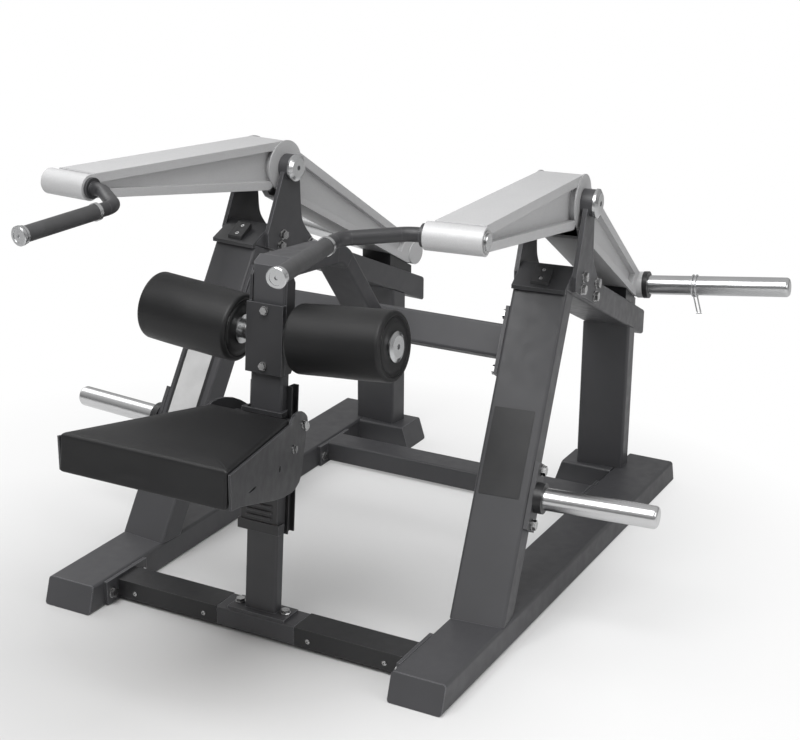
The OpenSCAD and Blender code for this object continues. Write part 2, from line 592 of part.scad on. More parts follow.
// Upper cross-beam between the front uprights, tilted like them
module upper_cross() {
  difference() {
    translate([-400, xb_y, xb_z]) rotate([90, 0, 90]) rotate([0, 0, -lean])
      rhs(xbeam_d, xbeam_s, 800, 3, 6);
    for (m = [0, 1]) mirror([m, 0, 0]) R() translate([-W - 7, -200, 0]) cube([400, 1200, 900]);
  }
  for (m = [0, 1]) mirror([m, 0, 0]) R() upper_plate();
}
module upper_plate() translate([-W - 8, fu(xb_z) + tube_d/cos(lean)/2, xb_z])
  rotate([-lean, 0, 0]) difference() {
    translate([0, -26, -76]) cube([8, 52, 152]);
    for (z = [-62, 62]) translate([0, 0, z]) xcyl(6.2, -1, 9);
  }
module upper_bolts() translate([-W - 8, fu(xb_z) + tube_d/cos(lean)/2, xb_z])
  rotate([-lean, 0, 0]) for (z = [-62, 62]) translate([0, 0, z]) rotate([0, -90, 0]) hexbolt(12, 8);

// Mast axes: y back from the front face, z up the mast
module MA() translate([0, mast_y, mast_z]) rotate([-mast_lean, 0, 0]) children();
foot_t = mast_z - 7 - fxm_h;
module half_axle(r, s0, s1) MA() translate([0, mast_d/2, axle_s]) for (m = [0, 1])
  mirror([m, 0, 0]) rotate([0, -axle_v, 0]) xcyl(r, s0, s1);
module mast() {
  difference() {
    MA() translate([0, mast_d/2, -20]) linear_extrude(mast_len + 60) rr(mast_w, mast_d, 6);
    translate([-100, mast_y - 100, mast_z - 100]) cube([200, 300, 100]);
    arch_cut(0);
    MA() difference() {
      translate([0, mast_d/2, -30]) linear_extrude(mast_len + 60) rr(mast_w - 6, mast_d - 6, 3);
      MA_inv() arch_cut(-4);
    }
    half_axle(axle_r + e, -2, 60);
  }
  difference() {
    translate([-70, fxm_y0 + 3, 7 + fxm_h]) cube([140, fxm_d - 12, foot_t]);
    for (x = [-56, 56]) translate([x, fxm_y0 + fxm_d/2 - 2, 0]) cylinder(r = 5.2, h = 80);
  }
}
module MA_inv() rotate([mast_lean, 0, 0]) translate([0, -mast_y, -mast_z]) children();
// Everything above the mast's top plane and its slanted front corner, moved up by k
module arch_cut(k) MA() translate([-60, 0, k]) rotate([90, 0, 90]) linear_extrude(120)
  polygon([[-40, mast_len - 16], [0, mast_len - 16], [24, mast_len], [mast_d + 90, mast_len],
    [mast_d + 90, mast_len + 200], [-40, mast_len + 200]]);
arch_l = 181;
arch_a = 45.6;
arch_r = 70;
module arch_bead() translate([0, 0, -2*bead]) linear_extrude(4*bead) difference() {
  rr(mast_w + 0.4, arch_d + 0.4, 6.2);
  rr(mast_w - 6.4, arch_d - 6.4, 2.8);
}
module arch() difference() {
  MA() {
    translate([0, mast_d + e, mast_len - arch_d/2]) rotate([-90, 0, 0])
      rhs(mast_w, arch_d, arch_l - e - bead, 3, 6);
    translate([0, mast_d + arch_l, mast_len - arch_d/2]) rotate([-90, 0, 0]) arch_bead();
    translate([0, mast_d + arch_l, mast_len - arch_d/2 - arch_r]) {
      rotate([0, -90, 0]) rotate_extrude(angle = arch_a) translate([arch_r, 0]) difference() {
        rr(arch_d, mast_w, 6);
        rr(arch_d - 6, mast_w - 6, 3);
      }
      rotate([-arch_a, 0, 0]) translate([0, 0, arch_r]) rotate([-90, 0, 0]) {
        arch_bead();
        translate([0, 0, bead]) rhs(mast_w, arch_d, 330, 3, 6);
      }
    }
  }
  translate([-200, xb_y, xb_z]) rotate([-lean, 0, 0]) translate([0, -xbeam_d/2, -600])
    cube([400, 800, 1200]);
}
// Guide rail: a channel open to the outside, beside the back of the mast
module rail() MA() translate([M + e, guide_y - rail_d/2, rail_s0]) difference() {
  cube([12, rail_d, rail_s1 - rail_s0]);
  translate([3, rail_d/2 - guide_r - 0.3, -1]) cube([12, 2*guide_r + 0.6, rail_s1 - rail_s0 + 2]);
}
// Front clamp plate with folded sides, and two cheeks beside the mast
clamp_s = [axle_s - 57.5, axle_s + 57.5];
module bracket() difference() {
  MA() {
    difference() {
      translate([-M - 5, -12, axle_s - 73.5]) cube([mast_w + 10, 12, 145]);
      translate([-M + 1, -8, axle_s - 78]) cube([mast_w - 2, 20, 160]);
      for (z = clamp_s) translate([0, 1, z]) rotate([90, 0, 0]) cylinder(r = 5.1, h = 20);
    }
    for (z = clamp_s) translate([0, e - 8, z]) rotate([-90, 0, 0]) difference() {
      cylinder(r = 11, h = 8 - e);
      translate([0, 0, -1]) cylinder(r = 5.1, h = 20);
    }
    for (m = [0, 1]) mirror([m, 0, 0]) plate(M + e, 6) translate([0, axle_s])
      polygon([[0, -73.5], [mast_d - 6, -73.5], [mast_d + 1, -64.5], [mast_d + 1, 113.5], [mast_d - 5, 123.5],
        [6, 131.5], [0, 123.5]]);
  }
  half_axle(axle_r + e, -2, 60);
}
module clamp_bolts() MA() for (z = clamp_s) translate([0, -12, z]) rotate([90, 0, 0])
  hexbolt(9, 5);
module mast_bolts() for (x = [-56, 56]) translate([x, fxm_y0 + fxm_d/2 - 2, mast_z]) hexbolt(11, 7);
roller_s0 = roller_in/cos(axle_v);
module thigh_roller() half_side() difference() {
  translate([roller_s0, 0, 0]) rotate([0, 90, 0]) union() {
    translate([0, 0, roller_rim]) cylinder(r = roller_r, h = roller_len - 2*roller_rim);
    cylinder(r = roller_r - roller_rim, h = roller_len);
    for (z = [roller_rim, roller_len - roller_rim]) translate([0, 0, z]) rotate_extrude()
      translate([roller_r - roller_rim, 0]) circle(roller_rim);
  }
  xcyl(axle_r + e, 0, 400);
  for (x = [roller_s0, roller_s0 + roller_len]) translate([x, 0, 0]) rotate([0, 90, 0])
    rotate_extrude() translate([roller_r - 13, 0]) circle(1.6);
}
module half_side() MA() translate([0, mast_d/2, axle_s]) rotate([0, -axle_v, 0]) children();
module roller_disc() half_side() {
  translate([roller_s0 + roller_len + 0.6, 0, 0]) rotate([0, 90, 0]) domecap(31, 7);
  difference() {
    union() {
      xcyl(20, 48, roller_s0 - 4);
      xcyl(31, roller_s0 - 5, roller_s0 - 0.4);
    }
    xcyl(axle_r + 0.02, 0, 100);
  }
}

// Seat. Side plates follow the taper of the pad, from the guide rollers forward
module seat_axis() translate([0, pad_y, pad_z]) rotate([-seat_slope, 0, 0]) children();
module pad_outline(d, r) hull() for (m = [-1, 1], y = [r + d, pad_len - r - d])
  translate([m*(pad_front_w/2 - y*tan(taper) - (r + d)/cos(taper)), y]) circle(r, $fn = 32);
module pad() seat_axis() translate([0, 0, -pad_t]) difference() {
  hull() {
    translate([0, 0, 7]) linear_extrude(pad_t - 15) pad_outline(0, 8);
    linear_extrude(1) pad_outline(4, 6);
    translate([0, 0, 2.6]) linear_extrude(1) pad_outline(1.2, 7.5);
    translate([0, 0, pad_t - 5]) linear_extrude(1) pad_outline(1.4, 8);
    translate([0, 0, pad_t - 2.8]) linear_extrude(1) pad_outline(4.6, 9);
    translate([0, 0, pad_t - 1]) linear_extrude(1) pad_outline(16, 16);
  }
  translate([0, 0, -1]) linear_extrude(board_t + 1) board_outline(board_in - 0.4);
}
module board_outline(d) polygon([[-pad_front_w/2 + d, d], [pad_front_w/2 - d, d],
  [pad_rear_w/2 - d, pad_len - d], [-pad_rear_w/2 + d, pad_len - d]]);
module board() seat_axis() translate([0, 0, -pad_t]) difference() {
  linear_extrude(board_t) board_outline(board_in);
  for (x = [-50, 50], y = [110, 260]) translate([x, y, -1]) cylinder(r = 4, h = 8);
}
// Side plate axes: y back along the taper, origin below the pad's front corner
module taper_axis() translate([plate_x0, pad_y, 0]) rotate([0, 0, taper]) children();
function ps(y) = (y - pad_y)/cos(taper);
gs = ps(guide_wy);
function under(s) = pad_z - pad_t/cos(seat_slope) - tan(seat_slope)*s*cos(taper);
function over(s) = pad_z - pad_proud/cos(seat_slope) - tan(seat_slope)*s*cos(taper);
// Side plate beside the pad, with a ledge under it and a lobe for the guide roller
module side_plate() difference() {
  taper_axis() difference() {
    union() {
      plate(-plate_t, plate_t) polygon([[2, under(2)], [2, over(2)], [gs - 99, over(gs - 99)],
        [gs - 84, guide_wz + 48], [gs - 70, guide_wz + 50.5], [gs - 47, guide_wz + 48],
        [gs - 25, guide_wz + 41.5], [gs - 7, guide_wz + 32], [gs + 8, guide_wz + 21],
        [gs + 14, guide_wz + 14], [gs + 15.5, guide_wz + 6], [gs + 12, guide_wz - 3],
        [gs - 3, guide_wz - 33], [gs - 18, guide_wz - 60], [gs - 35, guide_wz - 89],
        [gs - 42, guide_wz - 98], [gs - 50, guide_wz - 103], [gs - 73, guide_wz - 106.5],
        [gs - 99, guide_wz - 105], [gs - 160, guide_wz - 91], [gs - 236, guide_wz - 66],
        [gs - 411, guide_wz - 2]]);
      plate(-plate_t - 22, 23) polygon([[52, under(52) - 0.3], [350, under(350) - 0.3],
        [350, under(350) - 4.3], [52, under(52) - 4.3]]);
    }
    translate([0, gs - 175, guide_wz - 24.3]) xcyl(7, -10, 5);
    plate(-plate_t - 2, 10) polygon([[gs - 367, guide_wz + 6], [gs - 355, guide_wz + 2],
      [gs - 330, guide_wz - 2], [gs - 317, guide_wz + 0.5], [gs - 335, guide_wz + 4]]);
  }
  translate([0, guide_wy, guide_wz]) xcyl(6 + e, 0, 200);
}
module side_plate_bolts() taper_axis() for (b = [[-21, 11], [-88, -16.5]])
  translate([0, gs + b[0], guide_wz + b[1]]) rotate([0, 90, 0]) hexbolt(9, 5);
// Guide roller on its stud, with a tapered washer and low head outside the side plate
module guide_roller() {
  translate([0, guide_wy, guide_wz]) {
    xcyl(guide_r, M + 3.6, M + 11);
    xcyl(6, M + 10, plate_at + 3.5);
    difference() {
      xcyl(9.5, plate_at - 5, plate_at + 3.2);
      translate([0, -guide_wy, -guide_wz]) taper_axis() translate([-100, 0, 0]) cube([100.2, 900, 900]);
    }
    xcyl(7.5, plate_at + 2.9, plate_at + 5);
  }
}
plate_at = plate_x0 - (guide_wy - pad_y)*tan(taper);
// Carriage box round the front of the mast, tied to the side plates by spacers
car_s0 = 180;
car_s1 = 443;
car_gap = 2.5;
car_in = M + car_gap;
module carriage() difference() {
  union() {
    MA() {
      difference() {
        translate([-car_in - 4, -12, car_s0]) cube([2*car_in + 8, 30, car_s1 - car_s0]);
        translate([-car_in, -8, car_s0 - 1]) cube([2*car_in, 60, car_s1 - car_s0 + 2]);
      }
      translate([0, 0, car_s1 - 9]) difference() {
        translate([-car_in - 7.5, -14, 0]) cube([2*car_in + 15, 20, 9]);
        translate([-car_in - 2, -10, -1]) cube([2*car_in + 4, 40, 11]);
      }
      translate([0, 0, car_s0]) difference() {
        translate([-car_in - 9.5, -15, 0]) cube([2*car_in + 19, 21, 22]);
        translate([-car_in - 2, -10, -1]) cube([2*car_in + 4, 40, 24]);
      }
      for (i = [0:2]) translate([-30, -15, car_s0 + 30 + i*13]) cube([60, 5, 5]);
    }
    for (b = [[-20.3, 11, 6], [-40, -62, 8]]) for (m = [0, 1]) mirror([m, 0, 0])
      translate([0, guide_wy + b[0], guide_wz + b[1]]) xcyl(b[2], car_in + 2, 120);
  }
  for (m = [0, 1]) mirror([m, 0, 0]) taper_axis() translate([-plate_t, -100, 0]) cube([200, 900, 900]);
}
// Ribbed block that grips the mast's front face while the seat is loaded
module brake() MA() difference() {
  translate([-36, -8, car_s0 + 26]) cube([72, 8 - e, 60]);
  for (i = [0:4]) translate([-40, -1.6, car_s0 + 34 + i*11]) cube([80, 3, 4]);
}

// Screws in the floor covers
module cover_screws() for (m = [0, 1], x = [130, 311]) mirror([m, 0, 0])
  translate([x, fxm_y0, 26]) rotate([90, 0, 0]) difference() {
    union() {
      cylinder(r = 5.5, h = 2);
      translate([0, 0, 2]) cylinder(r1 = 5.5, r2 = 3.5, h = 1.5);
    }
    translate([0, 0, 1.5]) cylinder(r = 2.2, h = 3, $fn = 6);
  }

c_frame = [0.2, 0.2, 0.21];
c_arm = [0.66, 0.66, 0.68];
c_steel = [0.82, 0.83, 0.85];
c_black = [0.07, 0.07, 0.08];
c_pad = [0.12, 0.12, 0.13];

module left_skid() color(c_frame) flip() skid();
module right_skid() color(c_frame) skid();
module skid_end_caps() color(c_black) { skid_caps(); flip() skid_caps(); }
module rear_feet() color(c_frame) { rear_foot(); flip() rear_foot(); }
module left_front_upright() color(c_frame) L() front_upright();
module right_front_upright() color(c_frame) R() front_upright();
module left_top_beam() color(c_frame) L() top_beam();
module right_top_beam() color(c_frame) R() top_beam();
module left_rear_upright() color(c_frame) L() rear_upright();
module right_rear_upright() color(c_frame) R() rear_upright();
module bump_hoods() color(c_frame) { L() hood(); R() hood(); }
module bump_pads() color(c_black) { L() bump(); R() bump(); }
module left_pivot_plates() color(c_frame) L() { ear(); flip() ear(); }
module right_pivot_plates() color(c_frame) R() { ear(); flip() ear(); }
module pivot_plate_bolts() color(c_steel) {
  L() { ear_bolt_set(); flip() ear_bolt_set(); }
  R() { ear_bolt_set(); flip() ear_bolt_set(); }
}
module pivot_shafts() color(c_steel) { L() shaft(); R() shaft(); }
module pivot_end_caps() color(c_steel) {
  L() { shaft_cap(); flip() shaft_cap(); }
  R() { shaft_cap(); flip() shaft_cap(); }
}
module front_cross_member() color(c_frame) front_cross();
module floor_covers() color(c_frame) { floor_cover(); flip() floor_cover(); }
module rear_cross_member() color(c_frame) rear_cross();
module upper_cross_beam() color(c_frame) upper_cross();
module frame_bolts() color(c_steel) {
  skid_bolts(); flip() skid_bolts();
  R() { upper_bolts(); horn_bolts(); }
  L() { upper_bolts(); horn_bolts(); }
  mast_bolts();
  clamp_bolts();
}
module panel_screws() color(c_steel) { cover_screws(); L() bump_screws(); R() bump_screws(); }
module seat_mast() color(c_frame) mast();
module mast_arch() color(c_frame) arch();
module guide_rails() color(c_black) { rail(); flip() rail(); }
module roller_bracket() color(c_frame) bracket();

module roller_axle() color(c_steel) half_axle(axle_r, 0, roller_s0 + roller_len + 0.6);
module roller_end_discs() color(c_steel) { roller_disc(); flip() roller_disc(); }
module arm_stop_blocks() color(c_black) { L() stop_block(); R() stop_block(); }
module left_storage_horn() color(c_steel) L() horn();
module right_storage_horn() color(c_steel) R() horn();
module storage_collars() color(c_black) { L() horn_collar(); R() horn_collar(); }
module left_thigh_roller() color(c_pad) flip() thigh_roller();
module right_thigh_roller() color(c_pad) thigh_roller();
module seat_guide_rollers() color(c_steel) { guide_roller(); flip() guide_roller(); }
module seat_carriage() color(c_frame) carriage();
module seat_side_plates() color(c_frame) { side_plate(); flip() side_plate(); }
module seat_board() color([0.3, 0.24, 0.17]) board();
module seat_pad() color(c_pad) pad();
module brake_block() color(c_black) brake();
module seat_bolts() color(c_steel) { side_plate_bolts(); flip() side_plate_bolts(); }
module left_press_arm() color(c_arm) L() press_arm();
module right_press_arm() color(c_arm) R() press_arm();
module left_weight_arm() color(c_arm) L() weight_arm();
module right_weight_arm() color(c_arm) R() weight_arm();
module left_arm_bearings() color(c_steel) L() arm_bearings();
module right_arm_bearings() color(c_steel) R() arm_bearings();
module left_weight_sleeve() color(c_steel) L() load_sleeve();
module right_weight_sleeve() color(c_steel) R() load_sleeve();
module left_sleeve_collar() color(c_black) L() load_collar();
module right_sleeve_collar() color(c_black) R() load_collar();
module left_spring_clip() color(c_steel) L() clip();
module right_spring_clip() color(c_steel) R() clip();
module left_handle() color(c_frame) L() handle_tube();
module right_handle() color(c_frame) R() handle_tube();
module left_grip() color(c_black) L() grip();
module right_grip() color(c_black) R() grip();
module left_handle_rings() color(c_steel) L() { handle_rings(); handle_plug(); }
module right_handle_rings() color(c_steel) R() { handle_rings(); handle_plug(); }

left_skid();
right_skid();
skid_end_caps();
rear_feet();
left_front_upright();
right_front_upright();
left_top_beam();
right_top_beam();
left_rear_upright();
right_rear_upright();
bump_hoods();
bump_pads();
left_pivot_plates();
right_pivot_plates();
pivot_plate_bolts();
pivot_shafts();
pivot_end_caps();
front_cross_member();
floor_covers();
rear_cross_member();
upper_cross_beam();
frame_bolts();
panel_screws();
seat_mast();
mast_arch();
guide_rails();
roller_bracket();
roller_axle();
roller_end_discs();
arm_stop_blocks();
left_storage_horn();
right_storage_horn();
storage_collars();
left_thigh_roller();
right_thigh_roller();
seat_guide_rollers();
seat_carriage();
seat_side_plates();
seat_board();
seat_pad();
brake_block();
seat_bolts();
left_press_arm();
right_press_arm();
left_weight_arm();
right_weight_arm();
left_arm_bearings();
right_arm_bearings();
left_weight_sleeve();
right_weight_sleeve();
left_sleeve_collar();
right_sleeve_collar();
left_spring_clip();
right_spring_clip();
left_handle();
right_handle();
left_grip();
right_grip();
left_handle_rings();
right_handle_rings();
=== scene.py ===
# %% [markdown]
# # A seated press-down machine, dressed for the camera
# The frame, arms and fittings come from the CAD model, already in place and in metres.
# This lesson gives each of them its finish, and makes the pieces that CAD cannot make
# well: the padded seat, the foam rollers and the thin plates on the uprights.

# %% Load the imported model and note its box
import math
import bpy
import numpy as np
from mathutils import Matrix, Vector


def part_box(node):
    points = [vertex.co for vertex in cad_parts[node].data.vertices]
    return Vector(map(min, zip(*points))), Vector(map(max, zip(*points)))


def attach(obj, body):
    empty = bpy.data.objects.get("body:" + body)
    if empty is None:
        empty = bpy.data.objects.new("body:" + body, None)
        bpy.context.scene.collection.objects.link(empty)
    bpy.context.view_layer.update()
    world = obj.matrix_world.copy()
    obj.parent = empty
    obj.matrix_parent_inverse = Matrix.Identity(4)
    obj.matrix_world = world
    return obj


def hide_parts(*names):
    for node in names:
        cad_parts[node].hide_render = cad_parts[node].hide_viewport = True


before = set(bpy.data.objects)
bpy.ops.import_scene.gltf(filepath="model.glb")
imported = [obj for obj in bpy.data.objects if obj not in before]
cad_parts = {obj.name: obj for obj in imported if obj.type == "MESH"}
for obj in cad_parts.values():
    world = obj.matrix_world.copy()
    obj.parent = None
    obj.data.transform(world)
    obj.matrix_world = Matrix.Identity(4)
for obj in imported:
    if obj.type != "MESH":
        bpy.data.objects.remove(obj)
scene = bpy.context.scene
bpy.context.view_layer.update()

# %% [markdown]
# ## The camera
# The photograph was taken from the front right, a little above the arms. A camera can be
# turned by hand until the edges agree, but the long edges of the floor frame settle it
# better: their vanishing points give its turn and focal length, and the width of the
# floor tube gives its place. The picture's middle is not quite the lens's middle, so a
# small shift moves it.

# %% Camera from its place, turn and focal length
IMAGE_W, IMAGE_H, SENSOR = 800, 740, 36.0
FOCAL_PX, CENTRE_PX = 1634.37, (393.83, 366.56)
CAMERA_AT = (1.71271, -3.01911, 1.67052)
YAW, PITCH, ROLL = math.radians(28.434), math.radians(19.141), 0.0066

def placed(right, above, back, at):
    """A matrix whose columns are the three axes and the place."""
    return Matrix([*np.column_stack([right, above, back, at]).tolist(), [0, 0, 0, 1]])

level = np.array([-math.sin(YAW), math.cos(YAW), 0.0])
ahead = level * math.cos(PITCH) - np.array([0.0, 0.0, math.sin(PITCH)])
right = np.array([math.cos(YAW), math.sin(YAW), 0.0])
turned_right = math.cos(ROLL) * right + math.sin(ROLL) * np.cross(right, ahead)

lens = bpy.data.cameras.new("camera")
lens.sensor_width = SENSOR
lens.lens = FOCAL_PX * SENSOR / IMAGE_W
lens.shift_x = (IMAGE_W / 2 - CENTRE_PX[0]) / IMAGE_W
lens.shift_y = (CENTRE_PX[1] - IMAGE_H / 2) / IMAGE_W
lens.clip_start, lens.clip_end = 0.05, 60.0
camera = bpy.data.objects.new("camera", lens)
camera.matrix_world = placed(turned_right, np.cross(turned_right, ahead), -ahead, CAMERA_AT)
scene.collection.objects.link(camera)
scene.camera = camera
print("lens in mm:", round(lens.lens, 2))

# %% [markdown]
# ## A short way to write materials
# Every finish here is a Principled shader with a small web of nodes before it. Such a
# web can be drawn in the shader editor, but then it can't be read beside the text. The
# helper below makes the nodes by name and joins them, so that each finish reads as a
# recipe: what varies the colour, what varies the gloss, and what raises the surface.

# %% Helpers for node recipes
class Finish:
    """A node material under construction: node() adds a node, and noise(), cells(),
    span(), sums(), shades(), gloss() and raised() add the usual ones already joined."""

    def __init__(self, name, colour, roughness, metallic=0.0, **sockets):
        self.material = bpy.data.materials.new(name)
        self.material.use_nodes = True
        self.tree = self.material.node_tree
        self.shader = self.tree.nodes["Principled BSDF"]
        self.material.diffuse_color = (*colour, 1.0)
        self.set("Base Color", (*colour, 1.0))
        self.set("Roughness", roughness)
        self.set("Metallic", metallic)
        for socket, value in sockets.items():
            self.set(socket.replace("_", " "), value)
        self.coords = self.node("ShaderNodeTexCoord").outputs["Object"]

    def set(self, socket, value):
        self.shader.inputs[socket].default_value = value

    def node(self, kind, **fields):
        made = self.tree.nodes.new(kind)
        for field, value in fields.items():
            setattr(made, field, value)
        return made

    def join(self, source, target):
        self.tree.links.new(source, target)

    def place(self, scale=(1, 1, 1), move=(0, 0, 0)):
        mapping = self.node("ShaderNodeMapping")
        mapping.inputs["Scale"].default_value = scale
        mapping.inputs["Location"].default_value = move
        self.join(self.coords, mapping.inputs["Vector"])
        return mapping.outputs["Vector"]

    def noise(self, scale, detail=2.0, where=None, distortion=0.0):
        """Noise of scale spots to the metre."""
        made = self.node("ShaderNodeTexNoise")
        made.inputs["Scale"].default_value = scale
        made.inputs["Detail"].default_value = detail
        made.inputs["Distortion"].default_value = distortion
        self.join(where or self.coords, made.inputs["Vector"])
        return made.outputs["Fac"]

    def cells(self, scale, feature="F1", where=None):
        """Distance within closed cells, of which scale go to the metre."""
        made = self.node("ShaderNodeTexVoronoi", feature=feature)
        made.inputs["Scale"].default_value = scale
        self.join(where or self.coords, made.inputs["Vector"])
        return made.outputs["Distance"]

    def span(self, source, low, high, start=0.0, end=1.0):
        """Takes source from the span start to end onto the span low to high."""
        made = self.node("ShaderNodeMapRange")
        limits = {"From Min": start, "From Max": end, "To Min": low, "To Max": high}
        for socket, value in limits.items():
            made.inputs[socket].default_value = value
        self.join(source, made.inputs["Value"])
        return made.outputs["Result"]

    def sums(self, first, second, how="ADD"):
        made = self.node("ShaderNodeMath", operation=how)
        self.join(first, made.inputs[0])
        self.join(second, made.inputs[1])
        return made.outputs[0]

    def shades(self, source, dark, light, start=0.3, end=0.7):
        """Runs the base colour from dark to light as source goes from start to end."""
        ramp = self.node("ShaderNodeValToRGB")
        first, last = ramp.color_ramp.elements
        first.position, last.position = start, end
        first.color, last.color = (*dark, 1.0), (*light, 1.0)
        self.join(source, ramp.inputs["Fac"])
        self.join(ramp.outputs["Color"], self.shader.inputs["Base Color"])
        return ramp.outputs["Color"]

    def gloss(self, source, low, high, start=0.3, end=0.7):
        self.join(self.span(source, low, high, start, end), self.shader.inputs["Roughness"])

    def soft_normal(self, radius, samples):
        """The normal as if each edge were rounded by the radius."""
        bevel = self.node("ShaderNodeBevel", samples=samples)
        bevel.inputs["Radius"].default_value = radius
        return bevel.outputs["Normal"]

    def raised(self, source, height, strength=1.0, soft_edge=0.0):
        """Bump of a height in metres; soft_edge rounds the lit corners by that radius."""
        bump = self.node("ShaderNodeBump")
        bump.inputs["Strength"].default_value = strength
        bump.inputs["Distance"].default_value = height
        self.join(source, bump.inputs["Height"])
        if soft_edge:
            self.join(self.soft_normal(soft_edge, samples=6), bump.inputs["Normal"])
        self.join(bump.outputs["Normal"], self.shader.inputs["Normal"])

    def painted_edge_highlight(self, colour, light, radius, starts=0.985, full=0.80):
        """Paints a highlight into the colour: takes it towards light where the rounded normal
        leaves the true one, which is along the edges only. Their dot product is the cosine
        between them: the painted highlight starts at 10 degrees and is full at 37."""
        alike = self.node("ShaderNodeVectorMath", operation="DOT_PRODUCT")
        self.join(self.soft_normal(radius, samples=8), alike.inputs[0])
        self.join(self.node("ShaderNodeNewGeometry").outputs["True Normal"], alike.inputs[1])
        highlighted = self.node("ShaderNodeMix", data_type="RGBA")
        self.join(self.span(alike.outputs["Value"], 0.0, 1.0, starts, full), highlighted.inputs["Factor"])
        self.join(colour, highlighted.inputs["A"])
        highlighted.inputs["B"].default_value = (*light, 1.0)
        self.join(highlighted.outputs["Result"], self.shader.inputs["Base Color"])

# %% [markdown]
# ## Powder-coated frame steel
# The frame is sprayed with dry powder and baked, which leaves a satin charcoal skin with
# a very fine orange peel, and edges that catch the light. A flat grey would do from far
# off. Here fine noise gives the peel, slow noise the uneven film, and a rounded normal
# both softens the edges and finds them, so that a lighter colour, a painted highlight, can be laid along
# them.

# %% Charcoal powder coat
# The last two numbers belong to the painted edge highlight: its radius, and how many times the coat's light
# tone it is.
PEEL_SCALE, PEEL_HEIGHT, EDGE_SOFT, EDGE_HIGHLIGHT_RADIUS, EDGE_HIGHLIGHT_GAIN = 1500.0, 0.00006, 0.0015, 0.0018, 4.0

def powder_coat(name, dark, light, rough):
    """Base colour between dark and light by slow noise, with a painted highlight along the edges; peel from
    noise of 0.7 mm.
    """
    coat = Finish(name, light, rough, Specular_IOR_Level=0.45)
    film = coat.shades(coat.noise(scale=5.0, detail=4.0), dark, light)
    # Painted highlight: the edges' colour runs up to several times the coat's light tone.
    coat.painted_edge_highlight(film, tuple(EDGE_HIGHLIGHT_GAIN * part for part in light), EDGE_HIGHLIGHT_RADIUS)
    coat.gloss(coat.noise(scale=38.0, detail=3.0), rough - 0.05, rough + 0.06)
    coat.raised(coat.noise(PEEL_SCALE), PEEL_HEIGHT, strength=0.25, soft_edge=EDGE_SOFT)
    return coat.material

frame_paint = powder_coat("charcoal_powder_coat", (0.046, 0.046, 0.049), (0.056, 0.056, 0.060), 0.44)
# A coat darker than the frame's, on the handles. The hoods, roller bracket, seat carriage and seat plates
# have the frame's own paint; on them this darker copy is painted shade.
handle_and_shade_paint = powder_coat("handle_and_shade_powder_coat", (0.026, 0.026, 0.028), (0.034, 0.034, 0.036), 0.42)
cover_paint = powder_coat("dark_powder_coat", (0.013, 0.013, 0.014), (0.018, 0.018, 0.019), 0.36)
print("powder coats:", frame_paint.name, handle_and_shade_paint.name, cover_paint.name)

# %% [markdown]
# ## Silver arm paint
# The lever arms are painted with a silver that holds fine metal flakes under a clear
# layer. Plain grey would look like primer, and full metal like bare steel, so the paint
# is a third metal. Small cells give each flake its own shade, and a thin coat gives a
# second, faint reflection.

# %% Silver metallic paint
FLAKE_SCALE = 1100.0

def flake_paint(name, dark, light, rough):
    """Base colour by cells of 0.9 mm mixed with slow noise; a thin coat over it."""
    paint = Finish(name, light, rough, metallic=0.30, Coat_Weight=0.05, Coat_Roughness=0.4)
    flakes = paint.span(paint.cells(FLAKE_SCALE), 0.0, 0.75, 0.0, 0.8)
    patches = paint.span(paint.noise(scale=4.0, detail=3.0), 0.0, 0.3)
    paint.shades(paint.sums(flakes, patches), dark, light, start=0.1, end=0.9)
    paint.gloss(paint.noise(scale=30.0, detail=3.0), rough - 0.04, rough + 0.05)
    paint.raised(paint.noise(scale=900.0), height=0.00005, strength=0.2, soft_edge=EDGE_SOFT)
    return paint.material

arm_paint = flake_paint("silver_flake_paint", (0.40, 0.40, 0.405), (0.55, 0.55, 0.555), 0.56)
print("arm paint:", arm_paint.name)

# %% [markdown]
# ## Bright metal
# The sleeves, caps and rings are hard chrome over turned steel, and the bolts are zinc
# plated, which is duller and a little uneven. Drawn turning lines would be finer than a
# pixel from here, so slight changes of gloss stand for them.

# %% Chrome and zinc
def bright_metal(name, dark, light, rough, spread, grain):
    """Metal whose colour runs from dark to light and whose gloss varies by noise."""
    metal = Finish(name, light, rough, metallic=1.0)
    metal.shades(metal.noise(scale=12.0, detail=3.0), dark, light)
    metal.gloss(metal.noise(grain), rough - spread, rough + spread)
    metal.raised(metal.noise(grain * 12), height=0.00001, strength=0.1)
    return metal.material

CHROME_ROUGH = 0.24
chrome = bright_metal("hard_chrome", (0.54, 0.545, 0.55), (0.60, 0.605, 0.61), CHROME_ROUGH, 0.012, 60.0)
zinc = bright_metal("zinc_plate", (0.38, 0.38, 0.38), (0.54, 0.54, 0.54), 0.22, 0.05, 420.0)
print("bright metals:", chrome.name, zinc.name)

# %% [markdown]
# ## A sleeve on a painted plate
# Each storage horn is one weldment: a chromed sleeve on a painted plate that is bolted
# to the upright. Two material slots would need the faces sorted, so one material tells
# the two finishes apart by the distance along the sleeve's axis. It is the dot product
# of a point with the axis, and the change lies under the plastic collar.

# %% Chrome that starts under the collar
FRAME_AT, TOE, HORN_ROOT, CHANGE = (0.4265, -0.280), math.radians(6.0), 0.075, 0.0004
HORN_START = FRAME_AT[0] * math.cos(TOE) + FRAME_AT[1] * math.sin(TOE) + HORN_ROOT

